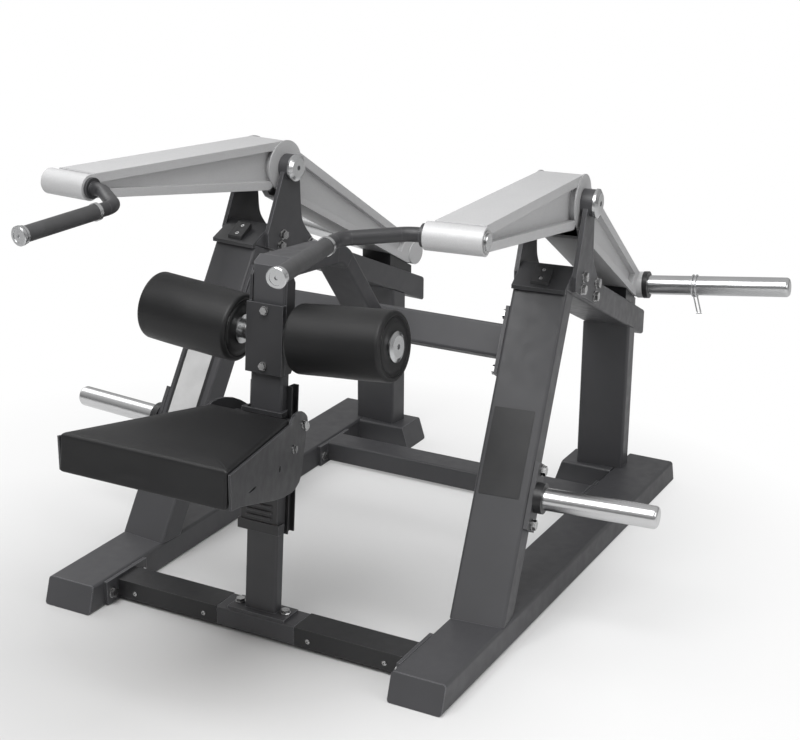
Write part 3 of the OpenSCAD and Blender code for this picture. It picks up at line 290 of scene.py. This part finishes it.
def painted_root(name, side, paint, rough):
    """Chrome where p . (side cos toe, sin toe, 0) > HORN_START, and paint before it."""
    metal = Finish(name, (0.62, 0.62, 0.62), 0.3)
    along = metal.node("ShaderNodeVectorMath", operation="DOT_PRODUCT")
    along.inputs[1].default_value = (side * math.cos(TOE), math.sin(TOE), 0.0)
    metal.join(metal.coords, along.inputs[0])
    plated = metal.span(along.outputs["Value"], 0.0, 1.0, HORN_START, HORN_START + CHANGE)
    patches = metal.span(metal.noise(scale=12.0, detail=3.0), 0.0, 0.1)
    tone = metal.sums(patches, metal.span(plated, 0.0, 0.9))
    metal.shades(tone, paint, (0.62, 0.62, 0.625), start=0.06, end=0.92)
    metal.join(plated, metal.shader.inputs["Metallic"])
    uneven = metal.span(metal.noise(scale=60.0), -0.05, 0.05)
    metal.gloss(metal.sums(plated, uneven), rough, CHROME_ROUGH, start=0.0, end=1.0)
    metal.raised(metal.noise(scale=1200.0), height=0.00001, strength=0.1)
    return metal.material

HORN_PAINT, HORN_PAINT_ROUGH = (0.05, 0.05, 0.053), 0.46
left_horn = painted_root("left_horn_chrome_and_paint", -1, HORN_PAINT, HORN_PAINT_ROUGH)
right_horn = painted_root("right_horn_chrome_and_paint", 1, HORN_PAINT, HORN_PAINT_ROUGH)
print("chrome starts along the axis at mm:", round(1000 * HORN_START, 1))

# %% [markdown]
# ## Rubber and moulded plastic
# Grips, stop pads and rails are moulded. Rubber scatters light and has a faint bloom;
# the plastic is harder and keeps the fine spark-eroded grain of its mould. The two are
# one recipe with other numbers, so one function makes both.

# %% Rubber and plastic
def moulded(name, dark, light, rough, grain, height):
    """Dark base with slow noise for bloom, and a mould grain raised by fine noise."""
    made = Finish(name, light, rough, Specular_IOR_Level=0.4)
    made.shades(made.noise(scale=22.0, detail=4.0), dark, light)
    made.gloss(made.noise(scale=70.0), rough - 0.05, rough + 0.05)
    made.raised(made.noise(grain, detail=3.0), height, strength=0.5, soft_edge=0.0008)
    return made.material

grip_rubber = moulded("grip_rubber", (0.042, 0.042, 0.043), (0.056, 0.056, 0.058), 0.56, 900.0, 0.00015)
stop_rubber = moulded("stop_rubber", (0.018, 0.018, 0.019), (0.026, 0.026, 0.027), 0.50, 900.0, 0.00012)
plastic = moulded("black_plastic", (0.016, 0.016, 0.017), (0.022, 0.022, 0.023), 0.36, 1300.0, 0.00008)
print("moulded finishes:", grip_rubber.name, stop_rubber.name, plastic.name)

# %% [markdown]
# ## Upholstery vinyl
# Gym vinyl is a soft plastic skin on a cloth backing, pressed with a leather grain:
# little closed cells a millimetre wide with sunk lines between them. Plain noise has no
# lines, so the grain is a cell pattern's distance to its edges, bent a little by slow
# noise, with a second, finer noise to break it up.

# %% Black vinyl with pressed grain
GRAIN_SCALE, GRAIN_LINE, GRAIN_HEIGHT, GRAIN_BEND = 850.0, 0.22, 0.00010, 0.0012

def grained_vinyl(name, dark, light, rough):
    """Grain height: distance to the cell edges, clipped, plus fine noise."""
    skin = Finish(name, light, rough, Specular_IOR_Level=0.38)
    warped = skin.node("ShaderNodeVectorMath", operation="MULTIPLY_ADD")
    skin.join(skin.noise(scale=90.0), warped.inputs[0])
    warped.inputs[1].default_value = (GRAIN_BEND,) * 3
    skin.join(skin.coords, warped.inputs[2])
    edges = skin.cells(GRAIN_SCALE, "DISTANCE_TO_EDGE", warped.outputs[0])
    lines = skin.span(edges, 0.0, 1.0, 0.0, GRAIN_LINE)
    height = skin.sums(lines, skin.span(skin.noise(scale=2400.0), 0.0, 0.3))
    skin.shades(skin.noise(scale=9.0, detail=3.0), dark, light)
    skin.gloss(lines, rough + 0.10, rough, start=0.0, end=1.0)
    skin.raised(height, GRAIN_HEIGHT, strength=0.5)
    return skin.material

vinyl = grained_vinyl("black_vinyl", (0.0070, 0.0070, 0.0075), (0.0100, 0.0100, 0.0105), 0.41)
print("vinyl:", vinyl.name)

# %% [markdown]
# ## Plywood under the seat
# The pad is stapled to a plywood base. Its face shows long grain, and its edge thin
# layers. One noise does for both, if it is stretched along the grain and squeezed across
# the layers.

# %% Plywood
ALONG_GRAIN = (1.0, 0.12, 6.0)

def plywood(name, dark, light):
    """Base colour by noise stretched eight to one along the grain."""
    wood = Finish(name, light, 0.62)
    grain = wood.noise(scale=60.0, detail=5.0, where=wood.place(ALONG_GRAIN), distortion=0.6)
    wood.shades(grain, dark, light, start=0.25, end=0.75)
    wood.raised(grain, height=0.0002, strength=0.4)
    return wood.material

board = plywood("birch_plywood", (0.20, 0.12, 0.06), (0.38, 0.26, 0.15))
print("board:", board.name)

# %% [markdown]
# ## Each CAD piece gets its finish
# A finish could be given piece by piece, but there are sixty. The list goes by the finish
# instead and names the pieces that have it. Each piece's own slot is filled, and a last
# line makes sure that no piece was forgotten.

# %% Finishes on the CAD pieces
FINISHES = {
    frame_paint: """left_skid right_skid rear_feet left_front_upright right_front_upright
        left_top_beam right_top_beam left_rear_upright right_rear_upright
        left_pivot_plates right_pivot_plates front_cross_member
        rear_cross_member upper_cross_beam seat_mast mast_arch skid_end_caps""",
    # The hoods, bracket, carriage and seat plates take the darker coat as painted shade.
    handle_and_shade_paint: """left_handle right_handle bump_hoods roller_bracket seat_carriage
        seat_side_plates""",
    cover_paint: "floor_covers",
    arm_paint: "left_press_arm right_press_arm left_weight_arm right_weight_arm",
    chrome: """pivot_end_caps roller_end_discs left_weight_sleeve right_weight_sleeve
        left_handle_rings right_handle_rings roller_axle left_spring_clip right_spring_clip""",
    left_horn: "left_storage_horn",
    right_horn: "right_storage_horn",
    zinc: """pivot_plate_bolts pivot_shafts frame_bolts panel_screws seat_bolts
        left_arm_bearings right_arm_bearings seat_guide_rollers""",
    grip_rubber: "left_grip right_grip",
    stop_rubber: "bump_pads",
    plastic: """guide_rails arm_stop_blocks storage_collars
        left_sleeve_collar right_sleeve_collar brake_block""",
    vinyl: "seat_pad left_thigh_roller right_thigh_roller",
    board: "seat_board",
}
finished = set()
for material, names in FINISHES.items():
    for name in names.split():
        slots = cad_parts[name].data.materials
        slots.clear()
        slots.append(material)
        finished.add(name)
print("finished", len(finished), "missing:", set(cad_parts) - finished)

# %% [markdown]
# ## Surfaces as grids of points
# A lathe-turned roller, a pad and a plate could each be made with its own modelling
# tools. To numpy they are all the same thing: an array of points with two indices.
# Joining each point to its two neighbours gives the faces. The grid closes on itself
# round the second index, and its first and last rows may be caps.

# %% Grid to mesh
def coordinates(mesh):
    """The mesh's vertices as an array of rows (x, y, z)."""
    co = np.empty(len(mesh.vertices) * 3)
    mesh.vertices.foreach_get("co", co)
    return co.reshape(-1, 3)


def signed_volume(mesh):
    """Sum over triangles of a . (b x c) / 6; positive when faces point outwards."""
    mesh.calc_loop_triangles()
    corners = np.empty(len(mesh.loop_triangles) * 3, int)
    mesh.loop_triangles.foreach_get("vertices", corners)
    a, b, c = coordinates(mesh)[corners.reshape(-1, 3)].transpose(1, 0, 2)
    return float((a * np.cross(b, c)).sum() / 6)


def piece_from_grid(name, points, material, body, capped=True, smooth=True):
    """points has the shape (rows, columns, 3) and closes round the columns. Face
    (i, j) joins rows i and i+1 at columns j and j+1; a cap is a fan to the row's mean.
    A mesh that comes out inside out is turned."""
    rows, columns = points.shape[:2]
    index = np.arange(rows * columns).reshape(rows, columns)
    following = np.roll(index, -1, axis=1)
    quads = np.stack([index[:-1], following[:-1], following[1:], index[1:]], axis=-1)
    verts, faces = points.reshape(-1, 3), quads.reshape(-1, 4).tolist()
    if capped:
        verts = np.vstack([verts, points[0].mean(0), points[-1].mean(0)])
        hubs = np.full(columns, rows * columns)
        faces += np.stack([following[0], index[0], hubs], axis=-1).tolist()
        faces += np.stack([index[-1], following[-1], hubs + 1], axis=-1).tolist()
    mesh = bpy.data.meshes.new(name)
    mesh.from_pydata(verts.tolist(), [], faces)
    mesh.validate()
    if signed_volume(mesh) < 0:
        mesh.flip_normals()
    if smooth:
        mesh.shade_smooth()
    piece = bpy.data.objects.new(name, mesh)
    scene.collection.objects.link(piece)
    mesh.materials.append(material)
    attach(piece, body)
    return piece


def turned(first, second, angle):
    """Two coordinates turned by the angle, from the first axis towards the second."""
    c, s = math.cos(angle), math.sin(angle)
    return first * c - second * s, first * s + second * c

# %% [markdown]
# ## The seat's outline
# Seen from above the seat is a trapezium, wide at the front and narrow at the mast,
# with small round corners. It could be drawn once and scaled for each height, but
# scaling would draw its long sides in more than its short ones. So one function moves
# every side in by the same inset.

# %% Rounded trapezium
PAD_FRONT, PAD_REAR, PAD_LENGTH = 0.380, 0.188, 0.362

def unit(vectors):
    return vectors / np.linalg.norm(vectors, axis=1, keepdims=True)


def direction_angle(vectors):
    return np.arctan2(vectors[:, 1], vectors[:, 0])


def trapezium(inset, radius, per_corner=9, per_side=22):
    """Corners moved in by inset, each cut by an arc of the radius whose centre lies on
    the corner's bisector at radius / sin(half angle)."""
    half = math.atan((PAD_FRONT - PAD_REAR) / 2 / PAD_LENGTH)
    front = PAD_FRONT / 2 - inset / math.cos(half) - inset * math.tan(half)
    rear = PAD_REAR / 2 - inset / math.cos(half) + inset * math.tan(half)
    far = PAD_LENGTH - inset
    corners = np.array([[-front, inset], [front, inset], [rear, far], [-rear, far]])
    before = unit(np.roll(corners, 1, axis=0) - corners)
    after = unit(np.roll(corners, -1, axis=0) - corners)
    bisector = unit(before + after)
    sine = np.abs(bisector[:, 0] * before[:, 1] - bisector[:, 1] * before[:, 0])
    centre = corners + bisector * (radius / sine)[:, None]
    start = direction_angle(before * (bisector * before).sum(1, keepdims=True) - bisector)
    end = direction_angle(after * (bisector * after).sum(1, keepdims=True) - bisector)
    sweep = (end - start + np.pi) % (2 * np.pi) - np.pi
    angle = start[:, None] + sweep[:, None] * np.linspace(0, 1, per_corner)
    arcs = centre[:, None] + radius * np.stack([np.cos(angle), np.sin(angle)], axis=-1)
    step = np.linspace(0, 1, per_side + 2)[1:-1, None]
    sides = arcs[:, -1, None] * (1 - step) + np.roll(arcs[:, 0], -1, axis=0)[:, None] * step
    return np.concatenate([arcs, sides], axis=1).reshape(-1, 2)

print("outline points:", len(trapezium(0.0, 0.008)))

# %% [markdown]
# ## The seat pad
# A pad is foam wrapped in vinyl that is pulled tight and stapled under its base. Air
# and foam push the skin out while the staples hold its rim, which is just what cloth
# with inside pressure does, so the pad starts a little small and is blown up. The
# pocket under it holds the plywood and is kept flat.

# %% Foam block before the cover is drawn tight
PAD_THICK, PAD_AT, PAD_SLOPE = 0.0775, (-0.819, 0.5515), math.radians(6.36)
BOARD_IN, BOARD_THICK, BOARD_GAP = 0.014, 0.015, 0.0008
SMALLER, EDGE_UNDER, EDGE_OVER, CORNER = 0.0006, 0.005, 0.008, 0.005
POCKET_INSETS, POCKET_CORNER, WALL_CORNER = (0.085, 0.04), 0.004, 0.002
LIP, SIDE_MARGIN, TOP_DROP, TOP_INSETS = 0.0003, 0.006, 0.0004, (0.018, 0.086)

def pad_rows():
    """Rows of (inset, height, corner radius) from the pocket's middle, down its wall,
    under the rim, up the side and over the top to the middle. Both edges are quarter
    circles."""
    ceiling, wall = -PAD_THICK + BOARD_THICK + BOARD_GAP, BOARD_IN - BOARD_GAP
    quarter = np.linspace(0, np.pi / 2, 7)
    rows = [(inset, ceiling, POCKET_CORNER) for inset in POCKET_INSETS]
    rows += [(wall, height, WALL_CORNER) for height in (ceiling, -PAD_THICK + LIP)]
    rows += [(SMALLER + EDGE_UNDER * (1 - s), -PAD_THICK + EDGE_UNDER * (1 - c), CORNER)
             for s, c in zip(np.sin(quarter), np.cos(quarter))]
    side = np.linspace(-PAD_THICK + EDGE_UNDER + SIDE_MARGIN, -EDGE_OVER - SIDE_MARGIN, 8)
    rows += [(SMALLER, height, CORNER) for height in side]
    rows += [(SMALLER + EDGE_OVER * (1 - c), -EDGE_OVER + (EDGE_OVER - SMALLER) * s, CORNER)
             for s, c in zip(np.sin(quarter), np.cos(quarter))]
    rows += [(inset, -TOP_DROP, CORNER) for inset in np.linspace(*TOP_INSETS, 9)]
    return rows


def pad_grid():
    """Each row is the outline at its inset, lifted to its height."""
    rows = []
    for inset, height, radius in pad_rows():
        ring = trapezium(inset, radius)
        rows.append(np.column_stack([ring, np.full(len(ring), height)]))
    return np.array(rows)

seat = piece_from_grid("seat_cushion", pad_grid(), vinyl, "seat")
print("pad volume in litres:", round(1000 * signed_volume(seat.data), 2))

# %% [markdown]
# ## Blowing the cover tight
# A remesh would give the cloth even squares, but it wears crisp edges away. The pad's
# rows and columns are close enough to be the cloth's own mesh. Twenty steps of pressure
# swell it; then each point keeps at most a little of its travel: a few millimetres in
# the middle of the top, less at the front, next to nothing beside the steel plates, and
# none near the base, as staples hold it there.

# %% Pressure run, capped and faded to nothing at the base
PRESSURE, RUN_FRAMES = 4.0, 20
TRAVEL_SIDE, TRAVEL_END, TRAVEL_CROWN = 0.0005, 0.001, 0.0015
HELD, HELD_FADE, POCKET_EDGE = 0.004, 0.02, 0.003
PLATE_FADE, CROWN_FADE, CROWN_DEPTH = 0.02, 0.06, 0.01

def blown_up(piece, pressure, cap):
    """New place = old + travel * min(1, cap(old) / |travel|), with cap in metres."""
    old = coordinates(piece.data)
    cloth = piece.modifiers.new("cover", "CLOTH")
    cloth.settings.use_pressure = True
    cloth.settings.uniform_pressure_force = pressure
    cloth.settings.effector_weights.gravity = 0.0
    cloth.settings.quality = 5
    cloth.point_cache.frame_start, cloth.point_cache.frame_end = 1, RUN_FRAMES
    for step in range(1, RUN_FRAMES + 1):
        scene.frame_set(step)
    seen = piece.evaluated_get(bpy.context.evaluated_depsgraph_get())
    travel = coordinates(seen.data) - old
    piece.modifiers.remove(cloth)
    scene.frame_set(1)
    length = np.linalg.norm(travel, axis=1, keepdims=True)
    kept = travel * np.minimum(1.0, cap(old)[:, None] / np.maximum(length, 1e-9))
    furthest = float(np.linalg.norm(kept, axis=1).max())
    print(piece.name, "moved by up to", round(1000 * furthest, 2), "mm")
    return old + kept


def eased(share):
    """Runs from 0 to 1 with a soft start and end: s s (3 - 2 s)."""
    return share * share * (3 - 2 * share)


def travel_allowed(points):
    """0 at the rim and in the pocket, 0.5 mm beside the side plates, 1.5 mm at the front
    and rear and 3 mm in the top's middle."""
    x, y, z = points.T
    half_width = PAD_FRONT / 2 - (PAD_FRONT - PAD_REAR) / 2 * y / PAD_LENGTH
    from_plate = half_width - np.abs(x)
    to_edge = np.minimum(np.minimum(from_plate, y), PAD_LENGTH - y)
    rise = np.clip((z + PAD_THICK - HELD) / HELD_FADE, 0, 1)
    in_pocket = (z < -PAD_THICK + BOARD_THICK + HELD) & (to_edge > BOARD_IN - POCKET_EDGE)
    crown = TRAVEL_CROWN * eased(np.clip(to_edge / CROWN_FADE, 0, 1) * (z > -CROWN_DEPTH))
    ends = TRAVEL_END * np.clip(from_plate / PLATE_FADE, 0, 1)
    return np.where(in_pocket, 0.0, (TRAVEL_SIDE + ends + crown) * eased(rise))


def into_place(points):
    """Seat axes to the model's: turn by the slope about x, then move to the front edge."""
    x, y, z = points.T
    y, z = turned(y, z, -PAD_SLOPE)
    return np.column_stack([x, PAD_AT[0] + y, PAD_AT[1] + z])

swollen = blown_up(seat, PRESSURE, travel_allowed)
seat.data.vertices.foreach_set("co", into_place(swollen).ravel())
seat.data.shade_smooth()
finer = seat.modifiers.new("finer", "SUBSURF")
finer.levels = finer.render_levels = 1
seat.data.update()
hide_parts("seat_pad")
print("cushion faces:", len(seat.data.polygons))

# %% [markdown]
# ## The thigh rollers
# Each roller is a foam tube with a vinyl sleeve, drawn round the rim onto an end disc
# that sits inside a sunk ring. Firm foam on an axle hardly sags, so no cloth run is
# needed: it is a body of revolution, a profile of distance along the axle and radius
# carried round it. A slight swell and a shallow dent or two keep it from looking turned
# on a lathe.

# %% Foam roller's profile
ROLLER_R, ROLLER_RIM, ROLLER_IN, ROLLER_LONG, BORE = 0.072, 0.008, 0.069, 0.216, 0.0131
SKIN_IN, SWELL, RING_R, RING_IN = 0.0006, 0.0005, 0.0019, 0.013
END_RADII, STRAIGHT_IN, STRAIGHT_POINTS = (BORE, 0.030, 0.045), 0.004, 26

def roller_profile():
    """(along, radius) from the bore at one end, out over the rim, to the bore again.
    The sunk ring is a half circle, and the rim a quarter circle."""
    quarter, half = np.linspace(0, np.pi / 2, 10), np.linspace(np.pi, 0, 9)
    outside = ROLLER_R - SKIN_IN
    ring = np.column_stack([RING_R * np.sin(half), ROLLER_R - RING_IN + RING_R * np.cos(half)])
    rim = np.column_stack([1 - np.cos(quarter), np.sin(quarter) - 1]) * ROLLER_RIM + [0, outside]
    end = np.vstack([[[0.0, radius] for radius in END_RADII], ring, rim])
    first = ROLLER_RIM + STRAIGHT_IN
    along = np.linspace(first, ROLLER_LONG - ROLLER_RIM - STRAIGHT_IN, STRAIGHT_POINTS)
    swell = SWELL * np.sin(np.linspace(0, np.pi, STRAIGHT_POINTS))
    other = end[::-1].copy()
    other[:, 0] = ROLLER_LONG - other[:, 0]
    return np.vstack([end, np.column_stack([along, outside + swell]), other])

print("profile points:", len(roller_profile()))

# %% [markdown]
# ## Rollers on their bent axle
# The axle rises a little towards its ends and leans back with the mast. The profile is
# carried round a level axle first, where the formula is short, and the points are then
# turned twice and moved. The profile's first point comes again as its last, so that the
# bore's wall closes the tube.

# %% Foam rollers in place
MAST_AT, MAST_HALF, AXLE_UP = (-0.443, 0.057), 0.015, 0.5915
AXLE_LEAN, AXLE_RISE = math.radians(4.9), math.radians(4.7)
DENT, DENTS_ROUND, DENT_TWIST, DENT_WAVE = 0.0003, 3, 9, 40
DENT_FROM, DENT_FADE = 0.066, 0.005

def roller_points(side, turns=112):
    """Profile carried round the axle: (along, r cos a, r sin a), then raised by the
    axle's own slope, leant back with the mast and moved to the axle's middle."""
    along, radius = (column[:, None] for column in roller_profile().T)
    angle = np.linspace(0, 2 * np.pi, turns, endpoint=False)[None]
    outer = np.clip((radius - DENT_FROM) / DENT_FADE, 0, 1)
    dent = DENT * np.sin(DENTS_ROUND * angle + DENT_TWIST * along) * np.cos(DENT_WAVE * along)
    r = radius + outer * dent
    x = ROLLER_IN / math.cos(AXLE_RISE) + along + 0 * r
    y, z = r * np.cos(angle), r * np.sin(angle)
    x, z = turned(x, z, AXLE_RISE)
    y, z = turned(y + MAST_HALF, z + AXLE_UP, -AXLE_LEAN)
    points = np.stack([side * x, y + MAST_AT[0], z + MAST_AT[1]], axis=-1)
    return np.concatenate([points, points[:1]], axis=0)

for side, word in ((1, "right"), (-1, "left")):
    cover = piece_from_grid(f"{word}_roller_cover", roller_points(side), vinyl,
                            f"{word}_roller", capped=False)
    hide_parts(f"{word}_thigh_roller")
    low, high = (np.array(corner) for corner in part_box(f"{word}_thigh_roller"))
    co = coordinates(cover.data)
    print(word, "roller inside its CAD box by mm:",
          np.round(1000 * (co.min(0) - low), 1), np.round(1000 * (high - co.max(0)), 1))

# %% [markdown]
# ## Two blank plates
# Each front upright carries a thin plate on its front face. Both are left bare: a black
# one on the right, and on the left a pale one with a black rim. A plate could be laid on
# by eye, but it would float or sink. The upright's face follows from the side frame's
# toe and the upright's lean, so a plate's place is given by how far it lies across and
# up that face.

# %% Plates on the uprights' front faces
UPRIGHT_LEAN, TUBE_TOP = math.radians(30.0), 0.060
PLATE_UP, PLATE_SIZE, PLATE_RIM = 0.3625, np.array([0.090, 0.189]), 0.008
PLATE_THICK, FIELD_THICK, EDGE_SHARE = 0.0006, 0.0003, 0.4

def face_plate(name, side, middle, size, lift, thick, corner, material):
    """A rounded plate: rings of the outline at three heights, with a bevelled edge.
    World = foot + across * x + up * y + out * height."""
    across = np.array([math.cos(TOE), math.sin(TOE), 0.0])
    back = np.array([-math.sin(TOE), math.cos(TOE), 0.0])
    up = math.sin(UPRIGHT_LEAN) * back + np.array([0.0, 0.0, math.cos(UPRIGHT_LEAN)])
    out = np.cross(across, up)
    foot = np.array([*FRAME_AT, TUBE_TOP])
    quarter = np.linspace(0, np.pi / 2, 8)
    signs = np.array([[1, 1], [-1, 1], [-1, -1], [1, -1]])
    bevel = thick * EDGE_SHARE
    rings = []
    for inset, height in ((0.0, lift), (0.0, lift + thick * (1 - EDGE_SHARE)), (bevel, lift + thick)):
        half = size / 2 - inset - corner
        flat = [half * sign + corner * np.column_stack([np.cos(angle), np.sin(angle)])
                for sign, angle in zip(signs, quarter + np.pi / 2 * np.arange(4)[:, None])]
        flat = np.concatenate(flat) + middle
        rings.append(foot + flat[:, :1] * across + flat[:, 1:] * up + height * out)
    points = np.array(rings) * [side, 1.0, 1.0]
    piece = piece_from_grid(name, points, material, "frame", smooth=False)
    return piece

PLATE_GRAIN = (700.0, 0.00004)
plate_black = moulded("blank_plate_black", (0.020, 0.020, 0.021), (0.026, 0.026, 0.027), 0.34, *PLATE_GRAIN)
plate_pale = moulded("blank_plate_pale", (0.50, 0.50, 0.50), (0.58, 0.58, 0.58), 0.38, *PLATE_GRAIN)
right_place, left_place = (-0.004, PLATE_UP), (0.002, PLATE_UP)
face_plate("right_blank_plate", 1, right_place, PLATE_SIZE, 0.0, PLATE_THICK, 0.003, plate_black)
face_plate("left_blank_plate", -1, left_place, PLATE_SIZE, 0.0, PLATE_THICK, 0.003, plate_black)
face_plate("left_plate_field", -1, left_place, PLATE_SIZE - 2 * PLATE_RIM, PLATE_THICK, FIELD_THICK,
           0.002, plate_pale)
print("plates set on the uprights")

# %% [markdown]
# ## A white room
# The photograph is a studio picture on white. A world that is bright all round would
# wash the black steel out, so the white is for the camera's own rays only, by the Light
# Path node. As a lamp the room is soft and grey: dim near the horizon and below it, and
# brighter overhead. The dot product of a direction with the tilt tells how far up it
# looks, and a smooth step turns that into a strength.

# %% World that is white to the camera and grey as a lamp
ROOM_TILT, ROOM_FROM, ROOM_TO = (0.0, 0.12, 0.99), -0.35, 0.75
ROOM_DIM, ROOM_BRIGHT, BACKDROP = 0.09, 0.60, 1.0

world = bpy.data.worlds.new("studio")
scene.world = world
world.use_nodes = True
nodes, links = world.node_tree.nodes, world.node_tree.links
nodes.clear()

direction = nodes.new("ShaderNodeTexCoord").outputs["Generated"]
facing = nodes.new("ShaderNodeVectorMath")
facing.operation = "DOT_PRODUCT"
facing.inputs[1].default_value = ROOM_TILT
links.new(direction, facing.inputs[0])
strength = nodes.new("ShaderNodeMapRange")
strength.interpolation_type = "SMOOTHSTEP"
limits = {"From Min": ROOM_FROM, "From Max": ROOM_TO, "To Min": ROOM_DIM, "To Max": ROOM_BRIGHT}
for socket, value in limits.items():
    strength.inputs[socket].default_value = value
links.new(facing.outputs["Value"], strength.inputs["Value"])

soft, white = nodes.new("ShaderNodeBackground"), nodes.new("ShaderNodeBackground")
soft.inputs["Color"].default_value = white.inputs["Color"].default_value = (1, 1, 1, 1)
links.new(strength.outputs["Result"], soft.inputs["Strength"])
white.inputs["Strength"].default_value = BACKDROP
choose = nodes.new("ShaderNodeMixShader")
links.new(nodes.new("ShaderNodeLightPath").outputs["Is Camera Ray"], choose.inputs["Fac"])
links.new(soft.outputs[0], choose.inputs[1])
links.new(white.outputs[0], choose.inputs[2])
links.new(choose.outputs[0], nodes.new("ShaderNodeOutputWorld").inputs["Surface"])
print("world nodes:", len(nodes))

# %% [markdown]
# ## The floor
# The studio's floor is a sheet of paper that has no edge in the picture. A large plane
# would do for it, but a disc ends at the same distance on every side, so that no corner
# of it can show from another view. Its rings are close together under the machine.

# %% Floor disc
FLOOR_RADIUS, FLOOR_DROP = 14.0, 0.0005

def floor_disc(rings=24, spokes=96):
    """Ring i has the radius R * (i / n) ^ 2, so the middle is finer than the edge."""
    r = FLOOR_RADIUS * np.linspace(0.02, 1, rings) ** 2
    a = np.linspace(0, 2 * np.pi, spokes, endpoint=False)
    x, y = r[:, None] * np.cos(a), r[:, None] * np.sin(a)
    grid = np.stack([x, y, np.full_like(x, -FLOOR_DROP)], axis=-1).reshape(-1, 3)
    index = np.arange(rings * spokes).reshape(rings, spokes)
    following = np.roll(index, -1, axis=1)
    quads = np.stack([index[:-1], index[1:], following[1:], following[:-1]], axis=-1)
    hub = np.full(spokes, rings * spokes)
    middle = np.stack([index[0], following[0], hub], axis=-1)
    mesh = bpy.data.meshes.new("floor")
    mesh.from_pydata(grid.tolist() + [[0, 0, -FLOOR_DROP]], [],
                     quads.reshape(-1, 4).tolist() + middle.tolist())
    disc = bpy.data.objects.new("floor", mesh)
    scene.collection.objects.link(disc)
    return disc

floor = floor_disc()
print("floor faces:", len(floor.data.polygons))

# %% [markdown]
# ## Paper that fades into the white
# One grey paper would end in a horizon. This one is pale grey under the machine, where
# it keeps the shadow, and turns into the white backdrop further out. The fade is the
# distance from a point near the machine, by a spherical gradient, and only the camera's
# rays see it. The main lamp stands in front, so the paper's colour is made a little
# darker there: painted shade, so that the front does not come out too bright.

# %% Studio paper
# The front colour and its place and width give painted shade: darker paper in front, under the main lamp.
PAPER, PAPER_FRONT_SHADE, FRONT_SHADE_AT, FRONT_SHADE_WIDE = 0.75, 0.50, (-0.25, -0.85), 1.15
FADE_AT, FADE_WIDE, FADE_FROM, FADE_TO = (-0.1, -0.3), 2.0, 0.45, 1.5

def from_point(finish, at, wide):
    """Spherical gradient: 1 at the point and 0 at the distance wide from it."""
    gradient = finish.node("ShaderNodeTexGradient", gradient_type="SPHERICAL")
    move = (-at[0] / wide, -at[1] / wide, 0.0)
    finish.join(finish.place(scale=(1 / wide,) * 3, move=move), gradient.inputs["Vector"])
    return gradient.outputs["Fac"]

paper = Finish("studio_paper", (PAPER,) * 3, 0.7)
# Painted shade: the paper's colour runs darker towards the front.
front_shade = from_point(paper, FRONT_SHADE_AT, FRONT_SHADE_WIDE)
paper.shades(front_shade, (PAPER,) * 3, (PAPER_FRONT_SHADE,) * 3, start=0.0, end=0.85)
nearness = from_point(paper, FADE_AT, FADE_WIDE)
faded = paper.span(nearness, 1.0, 0.0, 1 - FADE_TO / FADE_WIDE, 1 - FADE_FROM / FADE_WIDE)
camera_only = paper.node("ShaderNodeLightPath").outputs["Is Camera Ray"]
blend = paper.node("ShaderNodeMixShader")
paper.join(paper.sums(faded, camera_only, "MULTIPLY"), blend.inputs["Fac"])
paper.join(paper.shader.outputs[0], blend.inputs[1])
paper.join(paper.node("ShaderNodeEmission").outputs[0], blend.inputs[2])
paper.join(blend.outputs[0], paper.tree.nodes["Material Output"].inputs["Surface"])
floor.data.materials.append(paper.material)
print("paper fades from", FADE_FROM, "to", FADE_TO, "m")

# %% [markdown]
# ## The lamps
# Softboxes are square area lamps. The wide one hangs high in front of the machine and
# draws the long lights on the arms and rollers; a weaker one at each side keeps the
# frame's sides apart from the backdrop. A sun would be simpler, but its shadows are
# too sharp for a studio.

# %% Three softboxes
def softbox(name, at, aim, size, power):
    """A square lamp of the size at a place, its -Z axis turned towards the aim."""
    lamp = bpy.data.lights.new(name, "AREA")
    lamp.shape, lamp.size, lamp.energy = "SQUARE", size, power
    holder = bpy.data.objects.new(name, lamp)
    back = np.subtract(at, aim) / np.linalg.norm(np.subtract(at, aim))
    side = np.cross([0, 0, 1.0], back)
    side /= np.linalg.norm(side)
    holder.matrix_world = placed(side, np.cross(back, side), back, at)
    scene.collection.objects.link(holder)

softbox("top_box", at=(0.1, -1.9, 3.5), aim=(0, 0, 0.4), size=2.4, power=124)
softbox("left_box", at=(-3.0, 0.4, 2.4), aim=(0, 0, 0.5), size=1.8, power=22)
softbox("right_box", at=(3.2, -0.6, 1.8), aim=(0, 0, 0.5), size=1.4, power=20)
scene.view_settings.view_transform = "Standard"
print("lamps:", len(bpy.data.lights))
